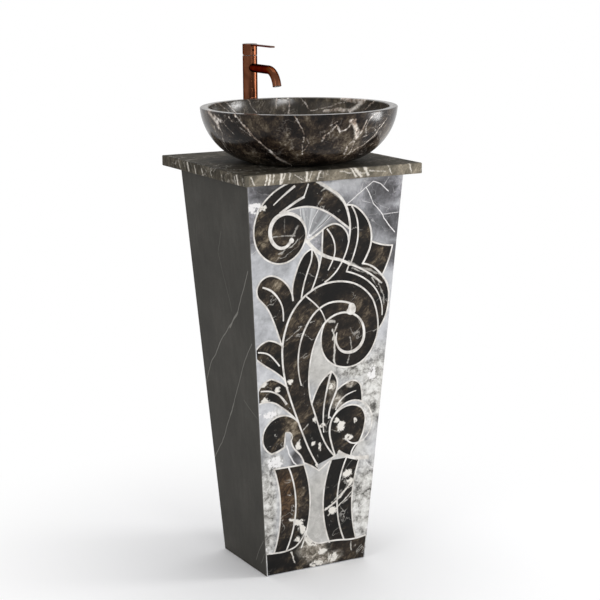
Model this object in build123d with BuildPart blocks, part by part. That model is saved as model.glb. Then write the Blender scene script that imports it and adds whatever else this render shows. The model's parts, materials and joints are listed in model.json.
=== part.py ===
from build123d import *
import os
from math import cos, hypot, radians, sin, tan

# Marble pedestal basin: a stone bowl on a slab, a tapered pedestal of four mitred panels with an
# inlaid front, a single lever tap and a bottle trap. Millimetres, +Z up, the front faces -Y,
# and the origin is on the floor under the middle of the pedestal.

# Pedestal
pedestal_height = 775.0
pedestal_top_width = 330.0
pedestal_foot_width = 218.0
pedestal_foot_depth = 186.0
panel_thickness = 20.0
mitre_gap = 0.3
glue_gap = 0.2
block_size = 45.0
block_height = 60.0
base_plate_thickness = 20.0
service_width = 160.0
service_height = 240.0
service_below_outlet = 189.6

# Slab
slab_front_overhang = 35.0
slab_thickness = 20.0
slab_eased_edge = 1.2

# Bowl
bowl_rim_radius = 187.0
bowl_past_slab = 2.0
bowl_foot_radius = 80.0
bowl_height = 105.0
bowl_belly_draw_in = 17.2
bowl_belly_wall = 16.3
bowl_rim_land = 15.5
bowl_rim_ease = 1.5
bowl_base_thickness = 19.0
bowl_floor_radius = 75.0
bowl_floor_fall = 2.5
bowl_seat_radius = 34.0
bowl_centre_y = -36.0

# Inlay of the front panel
inlay_depth = 6.0
inlay_gap = 0.2
border_margin = 1.5
line_width = 3.0
arcs_per_point = 0.6
smallest_stone = 6.0
curl_end_radius = 5.0

# Waste fitting
waste_hole_radius = 23.0
slab_waste_hole = 25.0
waste_tube_radius = 20.95
waste_bore_radius = 18.0
waste_flange_radius = 32.0
waste_flange_thickness = 3.0
waste_seal_thickness = 1.5
waste_seal_setback = 1.0
waste_length = 98.0
waste_edge = 2.0
pipe_clearance = 0.15
plug_radius = 30.0
plug_thickness = 4.0
plug_edge = 1.5
plug_boss_radius = 17.4
plug_boss_depth = 3.0
plug_seal_outer = 24.0
plug_seal_thickness = 1.5
stem_radius = 3.0
stem_grip = 15.0
latch_radius = 5.0
latch_length = 30.0
latch_floor = 8.0
spider_bar = 5.0
spider_height = 6.0
spider_wall = 3.0
spider_drop = 45.0
washer_thickness = 4.0
backnut_height = 10.0
backnut_radius = 30.0

# Trap
union_height = 22.0
union_radius = 25.0
union_lip = 3.0
pipe_radius = 16.0
pipe_wall = 1.5
tailpipe_length = 80.0
tailpipe_collar = 2.5
tailpipe_collar_radius = 20.5
trap_radius = 32.0
trap_wall = 3.0
trap_neck_radius = 21.0
trap_neck_height = 10.0
trap_shoulder = 6.0
head_drop = 14.0
trap_head_height = 70.0
trap_cup_height = 62.0
cup_thread = 12.0
cup_chamfer = 8.0
outlet_drop = 52.0
outlet_past_back = 18.15
outlet_socket = 16.0
outlet_socket_wall = 2.5
outlet_nut_radius = 23.0
spigot_radius = 15.6
outlet_nut_height = 14.0
pipe_setback = 1.0

# Tap
tap_behind_rim = 2.5
tap_to_slab_edge = 2.0
tap_hole_radius = 16.5
tap_radius = 14.5
tap_wall = 1.9
tap_seal_thickness = 1.0
tap_seal_setback = 0.5
tap_flange_radius = 20.0
tap_flange_thickness = 5.0
tap_above_rim = 83.4
chamber_depth = 42.0
inlet_offset = 6.2
inlet_set_forward = 2.5
inlet_thread_radius = 4.6
inlet_thread_length = 15.0
waterway_radius = 3.5
stud_offset = 9.5
stud_radius = 3.0
stud_length = 95.0
stud_grip = 18.0
fit_clearance = 0.06
spout_drop = 23.4
spout_radius = 8.5
spout_bore = 6.5
spout_reach = 80.0
spout_bend_radius = 36.0
spout_bend_angle = 73.5
spout_tail = 4.2
aerator_length = 4.0
aerator_rim = 1.0
aerator_recess = 1.5
clamp_plate_radius = 21.0
clamp_plate_thickness = 3.0
clamp_slot_width = 24.0
clamp_slot_back = 4.0
clamp_to_pedestal = 2.0
stud_nut_width = 10.0
stud_nut_height = 6.5

# Cartridge and handle
cartridge_height = 26.0
cartridge_neck_radius = 8.8
cartridge_neck_height = 8.0
cartridge_nut_height = 12.0
bush_radius = 7.5
bush_depth = 24.0
bush_rise = 4.0
pivot_rise = 1.0
pivot_pin_radius = 1.2
pivot_pin_length = 14.4
slot_clearance = 0.1
slot_depth = 7.8
spindle_width = 5.0
spindle_tail = 7.0
spindle_cover = 5.0
cap_gap = 1.2
cap_height = 21.8
cap_wall = 2.2
cap_roof = 6.4
cap_edge = 0.5
cap_boss_radius = 7.0
lift_angle = 25.0
relief_margin = 3.0
lever_reach = 100.0
lever_width = 9.0
lever_thickness = 3.0
lever_sink = 0.1
lever_root = 4.0
lever_corner = 1.5
grub_radius = 2.2
grub_drop = 11.6
boss_margin = 0.8

# Places, levels and slopes worked out from the sizes above
tap_y = bowl_centre_y + bowl_rim_radius + tap_behind_rim + tap_radius
pedestal_top_depth = 2 * (tap_y - clamp_plate_radius - clamp_to_pedestal)
slab_width = 2 * (bowl_rim_radius - bowl_past_slab)
slab_front_y = -pedestal_top_depth / 2 - slab_front_overhang
slab_back_y = tap_y + tap_flange_radius + tap_to_slab_edge
slab_depth = slab_back_y - slab_front_y
slab_centre_y = (slab_front_y + slab_back_y) / 2
bowl_belly_radius = bowl_rim_radius - bowl_belly_draw_in
spout_bend_y = tap_y - spout_reach
side_lean = (pedestal_top_width - pedestal_foot_width) / 2
front_lean = (pedestal_top_depth - pedestal_foot_depth) / 2
front_length = hypot(pedestal_height, front_lean)
slab_top = pedestal_height + slab_thickness
rim_level = slab_top + bowl_height
tap_joint_height = rim_level + tap_above_rim
spout_height = tap_joint_height - spout_drop
seat_level = slab_top + bowl_base_thickness
flange_top = seat_level + waste_seal_thickness + waste_flange_thickness
waste_end = flange_top - waste_length
outlet_level = waste_end - outlet_drop
outlet_reach = pedestal_foot_depth / 2 + front_lean * outlet_level / pedestal_height + outlet_past_back
service_sill = (outlet_level - service_below_outlet) * front_length / pedestal_height
body_base = slab_top + tap_seal_thickness + tap_flange_thickness
chamber_radius = tap_radius - tap_wall
chamber_floor = tap_joint_height - chamber_depth
pivot_level = tap_joint_height + pivot_rise
cap_base = tap_joint_height + cap_gap
cap_top = cap_base + cap_height


def unit(x, y, z):
    return Vector(x, y, z).normalized()


front_normal = unit(0, -pedestal_height, -front_lean)
back_normal = unit(0, pedestal_height, -front_lean)
left_normal = unit(-pedestal_height, 0, -side_lean)
right_normal = unit(pedestal_height, 0, -side_lean)
half_foot_width = pedestal_foot_width / 2
half_foot_depth = pedestal_foot_depth / 2
front_face = Plane(origin=(0, -half_foot_depth, 0), x_dir=(1, 0, 0), z_dir=front_normal)
back_face = Plane(origin=(0, half_foot_depth, 0), x_dir=(-1, 0, 0), z_dir=back_normal)
left_face = Plane(origin=(-half_foot_width, 0, 0), x_dir=(0, -1, 0), z_dir=left_normal)
right_face = Plane(origin=(half_foot_width, 0, 0), x_dir=(0, 1, 0), z_dir=right_normal)


def mitre_plane(this_normal, other_normal, set_back):
    """The plane that halves the corner between two leaning faces, moved into this face's panel."""
    both = this_normal + other_normal
    x_side = 1 if both.X > 0 else -1
    y_side = 1 if both.Y > 0 else -1
    corner = Vector(x_side * half_foot_width, y_side * half_foot_depth, 0)
    across = (this_normal - other_normal).normalized()
    return Plane(origin=corner + across * set_back, z_dir=across)


def saw_to_pedestal(this_normal, neighbours):
    """Cut the piece being built at the floor, under the slab and along its two mitres."""
    for other_normal in neighbours:
        split(bisect_by=mitre_plane(this_normal, other_normal, mitre_gap / 2), keep=Keep.TOP)
    split(bisect_by=Plane.XY, keep=Keep.TOP)
    split(bisect_by=Plane.XY.offset(pedestal_height), keep=Keep.BOTTOM)


def panel_blank(face):
    """A sawn stone sheet whose outer side lies on the given face, larger than the panel."""
    with BuildSketch(face, mode=Mode.PRIVATE) as sheet:
        with Locations((0, front_length / 2)):
            Rectangle(slab_width + slab_depth, 1.2 * front_length)
    extrude(sheet.sketch, amount=-panel_thickness)


def inner_half(foot, lean, level):
    """Half the clear width between two opposite panels at a level above the floor."""
    slope = hypot(pedestal_height, lean) / pedestal_height
    return foot / 2 + lean * level / pedestal_height - panel_thickness * slope - glue_gap


def inner_pyramid(low, high):
    """The space inside the four panels, from one level to another."""
    sections = []
    for level in (low, high):
        with BuildSketch(Plane.XY.offset(level), mode=Mode.PRIVATE) as section:
            Rectangle(
                2 * inner_half(pedestal_foot_width, side_lean, level),
                2 * inner_half(pedestal_foot_depth, front_lean, level),
            )
        sections.append(section.sketch)
    loft(sections, ruled=True)


def rod(low, high, radius, centre=(0, 0), mode=Mode.ADD):
    """An upright round bar between two levels, added to or cut from the piece being built."""
    with BuildSketch(Plane.XY.offset(low), mode=Mode.PRIVATE) as outline:
        with Locations(centre):
            Circle(radius)
    extrude(outline.sketch, amount=high - low, mode=mode)


def turned(points, centre=(0, 0)):
    """A piece turned about an upright axis from its half outline of radii and levels."""
    with BuildSketch(Plane.XZ.offset(-centre[1]), mode=Mode.PRIVATE) as outline:
        with Locations((centre[0], 0)):
            Polygon(*points, align=None)
    axis = Axis((centre[0], centre[1], 0), (0, 0, 1))
    revolve(outline.sketch, axis=axis)


# Inlay drawing. Points are on the front face: x from its middle line, y up the face from the floor.
# Every line is drawn once: it bounds the stones beside it and is also filled as a white joint.


def on_panel(x, y):
    """A drawn point, kept in proportion when the panel's size differs from the drawing's.

    The drawing is 776.75 long, and its half width grows from 109 at the foot to 165 at the top.
    """
    share = y / 776.75
    half = (pedestal_foot_width + (pedestal_top_width - pedestal_foot_width) * share) / 2
    return (x * half / (109 + 56 * share), share * front_length)


scroll_rim = [(-83, 772), (-103, 763), (-124, 747), (-141, 725), (-150, 691), (-144, 657),
              (-124, 633), (-96, 622), (-68, 629), (-49, 648), (-41, 672)]
scroll_curl = [(-41, 672), (-46, 693), (-60, 708.5), (-78, 716), (-97, 714), (-111, 703),
               (-116.5, 685), (-112, 666), (-100, 654), (-86, 652), (-74, 661)]
curl_end = (-71.5, 664)
fan_top = [(-93, 717.5), (-70, 723.7), (-50, 726), (-30, 724.4), (-10, 718), (10, 707.5),
           (30, 693), (51, 677)]
crest_line = [(-20, 772), (0, 760), (20, 747), (37, 730), (47, 708), (52, 685), (52, 662),
              (48, 640), (40, 619), (25, 596), (2, 578)]
scroll_hatch_long = [(-96, 718), (-82, 726.5), (-65, 736.5), (-48, 744.5)]
star_edge = [(-40, 660), (-20, 670), (-6, 679.5)]
inner_leaf_top = [(-6, 679.5), (8, 687), (22, 688.5), (35, 682), (44.5, 672), (50, 655)]
inner_leaf_side = [(-6, 680), (-6.5, 656), (-6, 633)]
inner_leaf_foot = [(-6, 635), (-10, 616), (-16, 593), (-27, 564)]
crest_band = [(-40, 662), (-25, 646), (-5, 631), (15, 623), (35, 617), (55, 607)]
pair_edge = [(-27, 645), (-37, 641), (-50, 627.5), (-60, 604), (-66, 584), (-67.5, 566),
             (-66, 550)]
pair_middle = [(-28, 643), (-28, 628), (-33, 610), (-40, 590), (-45, 570), (-48, 552)]
pair_right = [(-27, 645), (-18, 632), (-12.5, 617), (-12.5, 605)]
right_leaf_edge = [(42, 722), (58, 720.5), (75, 709), (89, 692.5), (97, 675), (100, 655),
                   (97, 635), (90, 619), (82.5, 606)]
right_leaf_middle = [(55, 719), (65, 700), (70, 675), (69, 650), (63, 627), (56, 608)]
band_edge = [(82.5, 606), (102.5, 599.5), (122, 583.5), (135, 567), (142, 549), (143, 528),
             (140, 506), (133, 488), (124, 474)]
band_upper = [(56, 607), (75, 598.5), (95, 587.5), (113, 575), (126, 564)]
band_lower = [(47.5, 594), (67.5, 587), (86, 577.5), (102.5, 565), (116, 549), (125, 531),
              (129.5, 500)]
stem_edge = [(121.5, 474), (118, 505), (106, 536), (85, 557.5), (57, 572), (25, 576.5),
             (-8, 572), (-38, 556.5), (-62, 533), (-78, 500), (-85.5, 465), (-85, 435),
             (-79.5, 398), (-68, 360), (-53, 320), (-37.5, 281), (-22, 246), (-4, 214)]
stem_inner = [(57, 531), (37, 536.5), (17, 537), (-6, 529), (-25, 512.5), (-40, 487),
              (-49, 459), (-51.5, 430), (-49, 402), (-43.5, 380)]
stem_right = [(5, 500), (-8, 480), (-19, 454), (-26, 420), (-27.5, 388), (-22, 347),
              (-10, 312), (1, 280), (16, 249), (33, 227)]
spiral_rim = [(121.5, 474), (118, 455), (106, 430), (86, 411), (62, 404), (36, 408),
              (13, 422), (0, 443), (-3.5, 465), (-0.5, 487), (5, 500)]
spiral_curl = [(5, 499), (20, 509), (40, 514), (60, 511), (78, 500), (88.5, 482), (90.5, 463),
               (84, 445), (70, 435), (53, 434), (39, 441), (31, 454), (29, 465), (30.5, 475)]
spiral_block = [(56, 531), (67, 528), (70.5, 517), (66, 508.5), (51, 512.5), (53.5, 521)]
paisley_edge = [(-86.5, 462), (-98, 493), (-109, 520), (-122, 542.5), (-138, 561), (-142, 574),
                (-136, 590), (-122, 600), (-105, 599.5), (-86, 588), (-71, 569), (-65.5, 549)]
left_leaf_top = [(-144, 457), (-126, 473.5), (-112, 476.5), (-98, 471), (-84, 461)]
left_leaf_foot = [(-144, 446), (-121, 427.5), (-103, 415), (-80, 396)]
low_leaf_top = [(-136, 376), (-124, 394), (-110, 400.5), (-94, 395), (-73, 379)]
low_leaf_foot = [(-137, 352.5), (-114, 356), (-94, 347.5), (-72, 331.5), (-49, 308)]
centre_leaf_edge = [(21, 400), (6, 388.5), (-7, 372), (-15, 354), (-20, 339)]
centre_leaf_back = [(21, 400), (30, 390), (35, 378), (34, 362), (26, 341), (19, 319),
                    (18, 306)]
centre_leaf_vein = [(20.6, 398), (13, 367.5), (8, 340), (6, 310), (8, 279)]
round_leaf_edge = [(34, 360), (50, 370.5), (68, 375.5), (83, 370), (90, 352), (91.5, 332)]
volute_ring = [(26, 303), (42, 323.5), (64, 334), (88, 331.5), (106, 317), (115.5, 291),
               (109, 264), (91, 247.5)]
volute_rim = [(26, 303), (42, 319.5), (62, 326), (83, 322.5), (97, 308.5), (99.5, 288),
              (95, 264), (87, 247)]
volute_side = [(26, 304), (21, 283), (25, 256), (35, 227)]
volute_foot = [(59, 258), (68, 249), (87, 247.5)]
volute_heel = [(87, 247), (76, 238), (70, 222)]
shelf_line = [(43, 234), (62, 222), (84, 215), (108, 213)]
left_volute_rim = [(-49, 308), (-64, 320), (-84, 325), (-104, 318.5), (-119, 303), (-124, 285),
                   (-119, 265), (-104, 250.5)]
left_volute_foot = [(-104, 250.5), (-88, 254.5), (-76, 261)]
hook_inner = [(-76, 261), (-76, 276), (-73.5, 290), (-66, 290), (-63, 276), (-60, 262),
              (-48, 246), (-34, 223)]
v_edge = [(33, 227), (15, 211.5), (-3, 201), (-20, 217), (-34, 223)]
leg_outer = [(-98, 219), (-82.5, 138), (-94, 47)]
leg_middle = [(-67.5, 220), (-49, 136), (-67.5, 47)]
leg_inner = [(-33.3, 219), (-17.6, 136), (-34.6, 47)]
leg_top = [(-98, 219), (-33.3, 219)]
strip_top = [(-120, 46.5), (-92, 45.5), (-66, 46), (-49, 50.5), (-38, 60), (-26, 80)]
strip_dip = [(-26, 80), (-15, 60), (2, 50), (30, 49.5), (62, 46.5), (120, 51)]
shoulder_top = [(100.5, 648), (124, 639.5), (147, 636)]
shoulder_side = [(147, 636), (139, 607), (127, 580)]


def mirrored(points):
    """The same points on the other leg, across the line x = -3.3 of the drawing."""
    return [(-6.6 - x, y) for x, y in points]


def smooth_run(spots):
    """A smooth run of arcs, each through three of the given spots."""
    for first, middle, last in zip(spots[:-2:2], spots[1:-1:2], spots[2::2]):
        ThreePointArc(first, middle, last)


def drawn_curve(points):
    """The curve through drawn points: a line, an arc or a spline by their number."""
    spots = [on_panel(*point) for point in points]
    with BuildLine(mode=Mode.PRIVATE) as curve:
        if len(spots) == 2:
            Line(*spots)
        elif len(spots) == 3:
            ThreePointArc(*spots)
        else:
            Spline(*spots)
    return curve.wires()[0]


def strip(points, shares, extra=0.0):
    """A filled line of changing width, which runs a little past both ends."""
    curve = drawn_curve(points)
    widths = [share * line_width for share in shares]
    steps = 2 * max(1, round(arcs_per_point * (len(points) - 1))) if len(points) > 3 else 2
    left_side = []
    right_side = []
    for step in range(steps + 1):
        share = step / steps
        low = min(int(share * (len(widths) - 1)), max(len(widths) - 2, 0))
        high = min(low + 1, len(widths) - 1)
        width = widths[low] + (widths[high] - widths[low]) * (share * (len(widths) - 1) - low)
        along = curve % share
        past = {0: -0.35, steps: 0.35}.get(step, 0.0) * width
        across = Vector(-along.Y, along.X, 0) * (width / 2 + extra)
        left_side.append(curve @ share + along * past + across)
        right_side.append(curve @ share + along * past - across)
    with BuildSketch(mode=Mode.PRIVATE) as filled:
        with BuildLine():
            if len(points) == 2:
                Line(left_side[0], left_side[-1])
                Line(right_side[0], right_side[-1])
            else:
                smooth_run(left_side)
                smooth_run(right_side)
            Line(left_side[0], right_side[0])
            Line(left_side[-1], right_side[-1])
        make_face()
    return filled.sketch


def blank(*runs):
    """The face bounded by drawn runs, closed with straight lines from each run to the next."""
    with BuildSketch(mode=Mode.PRIVATE) as outline:
        with BuildLine():
            for run, following in zip(runs, runs[1:] + runs[:1]):
                curve = drawn_curve(run)
                steps = 2 * len(run) - 2
                if len(run) == 2:
                    Line(curve @ 0, curve @ 1)
                else:
                    smooth_run([curve @ (step / steps) for step in range(steps + 1)])
                start = Vector(*on_panel(*following[0]))
                if (start - curve @ 1).length > 0.01:
                    Line(curve @ 1, start)
        make_face()
    return outline.sketch


def back(points):
    return points[::-1]


plain_lines = [
    scroll_rim, inner_leaf_top, inner_leaf_side, inner_leaf_foot, pair_edge, pair_middle, pair_right,
    right_leaf_middle, stem_right, spiral_rim, paisley_edge, left_leaf_top, left_leaf_foot,
    low_leaf_top, low_leaf_foot, centre_leaf_edge, round_leaf_edge, volute_rim, volute_foot,
    volute_heel, left_volute_rim, hook_inner, v_edge, leg_outer, leg_middle, leg_inner, leg_top,
    mirrored(leg_outer), mirrored(leg_middle), mirrored(leg_inner), strip_top, strip_dip,
    shoulder_top, shoulder_side,
]
# Lines that swell or taper, with their widths from start to end in line widths
swelling_lines = [
    (scroll_curl, [1, 2, 2.7, 2.3, 1.7]), (scroll_hatch_long, [1.5]), (fan_top, [1, 1.3]),
    (crest_line, [2, 1.7, 1, 1]), (star_edge, [1.7, 1]), (crest_band, [2.3, 1.7]),
    (right_leaf_edge, [1, 1.3]), (band_edge, [1, 1.3, 1]),
    (band_upper, [1.3, 0.8]), (band_lower, [1, 1, 0.7]), (stem_edge, [1, 1.3, 1]),
    (stem_inner, [1.2, 1.2, 0.7]), (spiral_curl, [1.2, 1.3, 2.3, 0.8]),
    (centre_leaf_back, [0.7, 1.3, 1]), (centre_leaf_vein, [1.3, 1, 0.7]),
    (volute_ring, [1, 1, 0.7]), (volute_side, [1.3, 1]), (shelf_line, [2, 2.7]),
    (left_volute_foot, [1.3]),
]
white_lines = [(points, [1]) for points in plain_lines] + swelling_lines


def in_field(shape):
    """The part of a drawing that keeps clear of the front panel's top and foot."""
    with BuildSketch(mode=Mode.PRIVATE) as field:
        with Locations((0, front_length / 2)):
            Rectangle(slab_width + slab_depth, front_length - 2 * border_margin)
    return field.sketch & shape


def white_pattern(extra):
    """All the white lines, each side moved out by the same small amount."""
    filled = [strip(points, shares, extra) for points, shares in white_lines]
    with BuildSketch(mode=Mode.PRIVATE) as round_end:
        with Locations(on_panel(*curl_end)):
            Circle(curl_end_radius + extra)
    return in_field(Sketch() + filled + blank(spiral_block) + round_end.sketch)


white_faces = white_pattern(0)
line_slots = white_pattern(inlay_gap)


def stones(*blanks, clear_of=None):
    """The dark stones left between the white lines inside one or more outlines."""
    cut = in_field(Sketch() + list(blanks)) - line_slots
    if clear_of:
        cut -= clear_of
    return Sketch() + [face for face in cut.faces() if face.area > smallest_stone]


scroll_stones = stones(blank(scroll_rim, scroll_curl[:4], fan_top, back(crest_line[:6])))
crest_stones = stones(
    blank(right_leaf_edge, band_edge, stem_edge[:7], back(crest_line[4:])),
    blank(inner_leaf_top, crest_line[7:], [(-8, 573), (-27, 564)], back(inner_leaf_foot)),
    blank(
        shoulder_top,
        shoulder_side,
        [(127, 580), (122, 583.5), (102.5, 599.5), (82.5, 606)],
        [(82.5, 606), (90, 619), (97, 635), (100.5, 648)],
    ),
)
stem_stones = stones(blank(stem_edge, [(-4, 214), (33, 227)], back(stem_right), back(spiral_rim)))
left_leaf_stones = stones(
    blank(pair_edge, [(-61, 536), (-48, 550), (-27, 563)], back(inner_leaf_foot[1:]),
          back(pair_right)),
    blank(paisley_edge, [(-61, 536), (-78, 500), (-85.5, 465)]),
    blank(left_leaf_top, [(-84, 461), (-85, 430), (-80, 396)], back(left_leaf_foot)),
    blank(low_leaf_top, [(-73, 379), (-62, 344), (-50, 308)], back(low_leaf_foot)),
)
centre_leaf_stones = stones(
    blank(
        centre_leaf_edge,
        [(-20, 339), (-10, 312), (1, 280), (16, 249), (33, 227)],
        back(volute_side),
        back(centre_leaf_back),
    ),
    blank(
        round_leaf_edge,
        [(91, 332), (64, 334), (42, 323.5), (26, 303)],
        [(19, 312), (26, 341), (34, 360)],
    ),
)
volute_stones = stones(
    blank(
        left_volute_rim,
        left_volute_foot,
        hook_inner,
        back(v_edge[2:]),
        [(-4, 214), (-22, 246), (-37.5, 281), (-49, 308)],
    ),
    blank(volute_rim, [(87, 247), (70, 222)], [(62, 222), (43, 234)], back(volute_side)),
)
foot_blank = blank(strip_top, strip_dip, [(120, 0), (-120, 0)])
foot_stones = stones(foot_blank)
leg_stones = stones(
    blank(leg_outer, strip_top[1:], [(-24.6, 80), (-17.6, 136), (-33.3, 219)]),
    blank(mirrored(leg_outer), [(87.4, 47), (60, 46), (28, 47)], back(mirrored(leg_inner))),
    clear_of=foot_blank,
)
stone_faces = [
    scroll_stones, crest_stones, stem_stones, left_leaf_stones, centre_leaf_stones,
    volute_stones, leg_stones, foot_stones,
]
pocket_faces = Sketch() + [line_slots] + stone_faces


def let_in(faces, mode=Mode.ADD):
    """Stones, lines or their pocket, to the depth of the inlay and cut off beside the mitres."""
    inlaid = extrude(front_face * faces, amount=-inlay_depth, mode=Mode.PRIVATE)
    for side_normal in (left_normal, right_normal):
        edge = mitre_plane(front_normal, side_normal, border_margin)
        inlaid = split(inlaid, bisect_by=edge, keep=Keep.TOP, mode=Mode.PRIVATE)
    add(inlaid, mode=mode)


with BuildPart() as inlay_scroll:
    let_in(scroll_stones)
inlay_scroll.part.label = "inlay_scroll"

with BuildPart() as inlay_crest_leaves:
    let_in(crest_stones)
inlay_crest_leaves.part.label = "inlay_crest_leaves"

with BuildPart() as inlay_stem:
    let_in(stem_stones)
inlay_stem.part.label = "inlay_stem"

with BuildPart() as inlay_left_leaves:
    let_in(left_leaf_stones)
inlay_left_leaves.part.label = "inlay_left_leaves"

with BuildPart() as inlay_centre_leaves:
    let_in(centre_leaf_stones)
inlay_centre_leaves.part.label = "inlay_centre_leaves"

with BuildPart() as inlay_volutes:
    let_in(volute_stones)
inlay_volutes.part.label = "inlay_volutes"

with BuildPart() as inlay_legs:
    let_in(leg_stones)
inlay_legs.part.label = "inlay_legs"

with BuildPart() as inlay_base_strip:
    let_in(foot_stones)
inlay_base_strip.part.label = "inlay_base_strip"

with BuildPart() as joint_lines:
    let_in(white_faces)
joint_lines.part.label = "joint_lines"

# Pedestal of mitred panels

with BuildPart() as front_panel:
    panel_blank(front_face)
    saw_to_pedestal(front_normal, (left_normal, right_normal))
    let_in(pocket_faces, mode=Mode.SUBTRACT)
front_panel.part.label = "front_panel"

with BuildPart() as left_panel:
    panel_blank(left_face)
    saw_to_pedestal(left_normal, (front_normal, back_normal))
left_panel.part.label = "left_panel"

with BuildPart() as right_panel:
    panel_blank(right_face)
    saw_to_pedestal(right_normal, (front_normal, back_normal))
right_panel.part.label = "right_panel"

with BuildPart() as back_panel:
    panel_blank(back_face)
    saw_to_pedestal(back_normal, (left_normal, right_normal))
    with BuildSketch(back_face):
        with Locations((0, service_sill + service_height / 2)):
            Rectangle(service_width, service_height)
    extrude(amount=-panel_thickness, mode=Mode.SUBTRACT)
back_panel.part.label = "back_panel"

with BuildPart() as base_plate:
    inner_pyramid(0, base_plate_thickness)
base_plate.part.label = "base_plate"

corner_blocks = []
for x_side, y_side in ((-1, -1), (1, -1), (1, 1), (-1, 1)):
    with BuildPart() as corner_block:
        inner_pyramid(pedestal_height - block_height, pedestal_height)
        x_clear = inner_half(pedestal_foot_width, side_lean, pedestal_height) - block_size
        y_clear = inner_half(pedestal_foot_depth, front_lean, pedestal_height) - block_size
        split(bisect_by=Plane(origin=(x_side * x_clear, 0, 0), z_dir=(x_side, 0, 0)))
        split(bisect_by=Plane(origin=(0, y_side * y_clear, 0), z_dir=(0, y_side, 0)))
    corner_block.part.label = f"corner_block_{len(corner_blocks) + 1}"
    corner_blocks.append(corner_block)

# Slab and bowl

with BuildPart() as countertop_slab:
    with BuildSketch(Plane.XY.offset(pedestal_height)):
        with Locations((0, slab_centre_y)):
            Rectangle(slab_width, slab_depth)
    extrude(amount=slab_thickness)
    chamfer(countertop_slab.edges(), slab_eased_edge)
    rod(pedestal_height, slab_top, slab_waste_hole, (0, bowl_centre_y), Mode.SUBTRACT)
    rod(pedestal_height, slab_top, tap_hole_radius, (0, tap_y), Mode.SUBTRACT)
countertop_slab.part.label = "countertop_slab"

with BuildPart() as vessel_bowl:
    inner_rim = bowl_rim_radius - bowl_rim_land
    belly_level = slab_top + bowl_height / 2
    floor_level = seat_level + bowl_floor_fall
    with BuildSketch(Plane.XZ.offset(-bowl_centre_y)):
        with BuildLine():
            ThreePointArc(
                (bowl_foot_radius, slab_top),
                (bowl_belly_radius, belly_level),
                (bowl_rim_radius, rim_level),
            )
            Line((bowl_rim_radius, rim_level), (inner_rim, rim_level))
            ThreePointArc(
                (inner_rim, rim_level),
                (bowl_belly_radius - bowl_belly_wall, belly_level),
                (bowl_floor_radius, floor_level),
            )
            Line((bowl_floor_radius, floor_level), (bowl_seat_radius, seat_level))
            Line((bowl_seat_radius, seat_level), (waste_hole_radius, seat_level))
            Line((waste_hole_radius, seat_level), (waste_hole_radius, slab_top))
            Line((waste_hole_radius, slab_top), (bowl_foot_radius, slab_top))
        make_face()
        chamfer(vertices().group_by(Axis.Y)[-1], bowl_rim_ease)
    revolve(axis=Axis((0, bowl_centre_y, 0), (0, 0, 1)))
vessel_bowl.part.label = "vessel_bowl"

# Waste fitting and bottle trap, all on the bowl's axis

waste_centre = (0, bowl_centre_y)
waste_outer = waste_tube_radius + pipe_clearance
flange_base = flange_top - waste_flange_thickness
plug_base = flange_top + plug_seal_thickness
plug_top = plug_base + plug_thickness
latch_base = flange_top - spider_drop
latch_top = latch_base + latch_length
backnut_top = pedestal_height - washer_thickness
collar_base = waste_end - tailpipe_collar
union_base = collar_base - union_lip
union_top = union_base + union_height
head_top = waste_end - head_drop
head_base = head_top - trap_head_height
neck_base = head_top - trap_neck_height

with BuildPart() as waste_flange_seal:
    rod(seat_level, flange_base, waste_flange_radius - waste_seal_setback, waste_centre)
    rod(seat_level, flange_base, waste_outer, waste_centre, Mode.SUBTRACT)
waste_flange_seal.part.label = "waste_flange_seal"

with BuildPart() as waste_body:
    turned(
        [
            (waste_bore_radius, waste_end),
            (waste_tube_radius, waste_end),
            (waste_tube_radius, flange_base),
            (waste_flange_radius, flange_base),
            (waste_flange_radius, flange_top - waste_edge / 2),
            (waste_flange_radius - waste_edge, flange_top),
            (waste_bore_radius + waste_edge, flange_top),
            (waste_bore_radius, flange_top - waste_edge),
        ],
        waste_centre,
    )
    with BuildSketch(Plane.XY.offset(latch_base)):
        with Locations(waste_centre):
            Rectangle(2 * waste_bore_radius + 1, spider_bar)
            Circle(latch_radius + spider_wall)
            Circle(latch_radius + fit_clearance, mode=Mode.SUBTRACT)
    extrude(amount=spider_height)
waste_body.part.label = "waste_body"

with BuildPart() as latch_cartridge:
    rod(latch_base, latch_top, latch_radius, waste_centre)
    rod(latch_base + latch_floor, latch_top, stem_radius + pipe_clearance, waste_centre,
        Mode.SUBTRACT)
latch_cartridge.part.label = "latch_cartridge"

with BuildPart() as waste_plug:
    turned(
        [
            (0, latch_top - stem_grip),
            (stem_radius, latch_top - stem_grip),
            (stem_radius, flange_top - plug_boss_depth),
            (plug_boss_radius, flange_top - plug_boss_depth),
            (plug_boss_radius, plug_base),
            (plug_radius, plug_base),
            (plug_radius, plug_top - plug_edge),
            (plug_radius - plug_edge, plug_top - plug_edge / 3),
            (plug_boss_radius, plug_top),
            (0, plug_top),
        ],
        waste_centre,
    )
waste_plug.part.label = "waste_plug"

with BuildPart() as plug_seal:
    rod(flange_top, plug_base, plug_seal_outer, waste_centre)
    rod(flange_top, plug_base, plug_boss_radius + fit_clearance, waste_centre, Mode.SUBTRACT)
plug_seal.part.label = "plug_seal"

with BuildPart() as waste_washer:
    rod(backnut_top, pedestal_height, backnut_radius, waste_centre)
    rod(backnut_top, pedestal_height, waste_outer, waste_centre, Mode.SUBTRACT)
waste_washer.part.label = "waste_washer"

with BuildPart() as waste_backnut:
    with BuildSketch(Plane.XY.offset(backnut_top - backnut_height)):
        with Locations(waste_centre):
            RegularPolygon(backnut_radius, 6)
            Circle(waste_outer, mode=Mode.SUBTRACT)
    extrude(amount=backnut_height)
waste_backnut.part.label = "waste_backnut"

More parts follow.
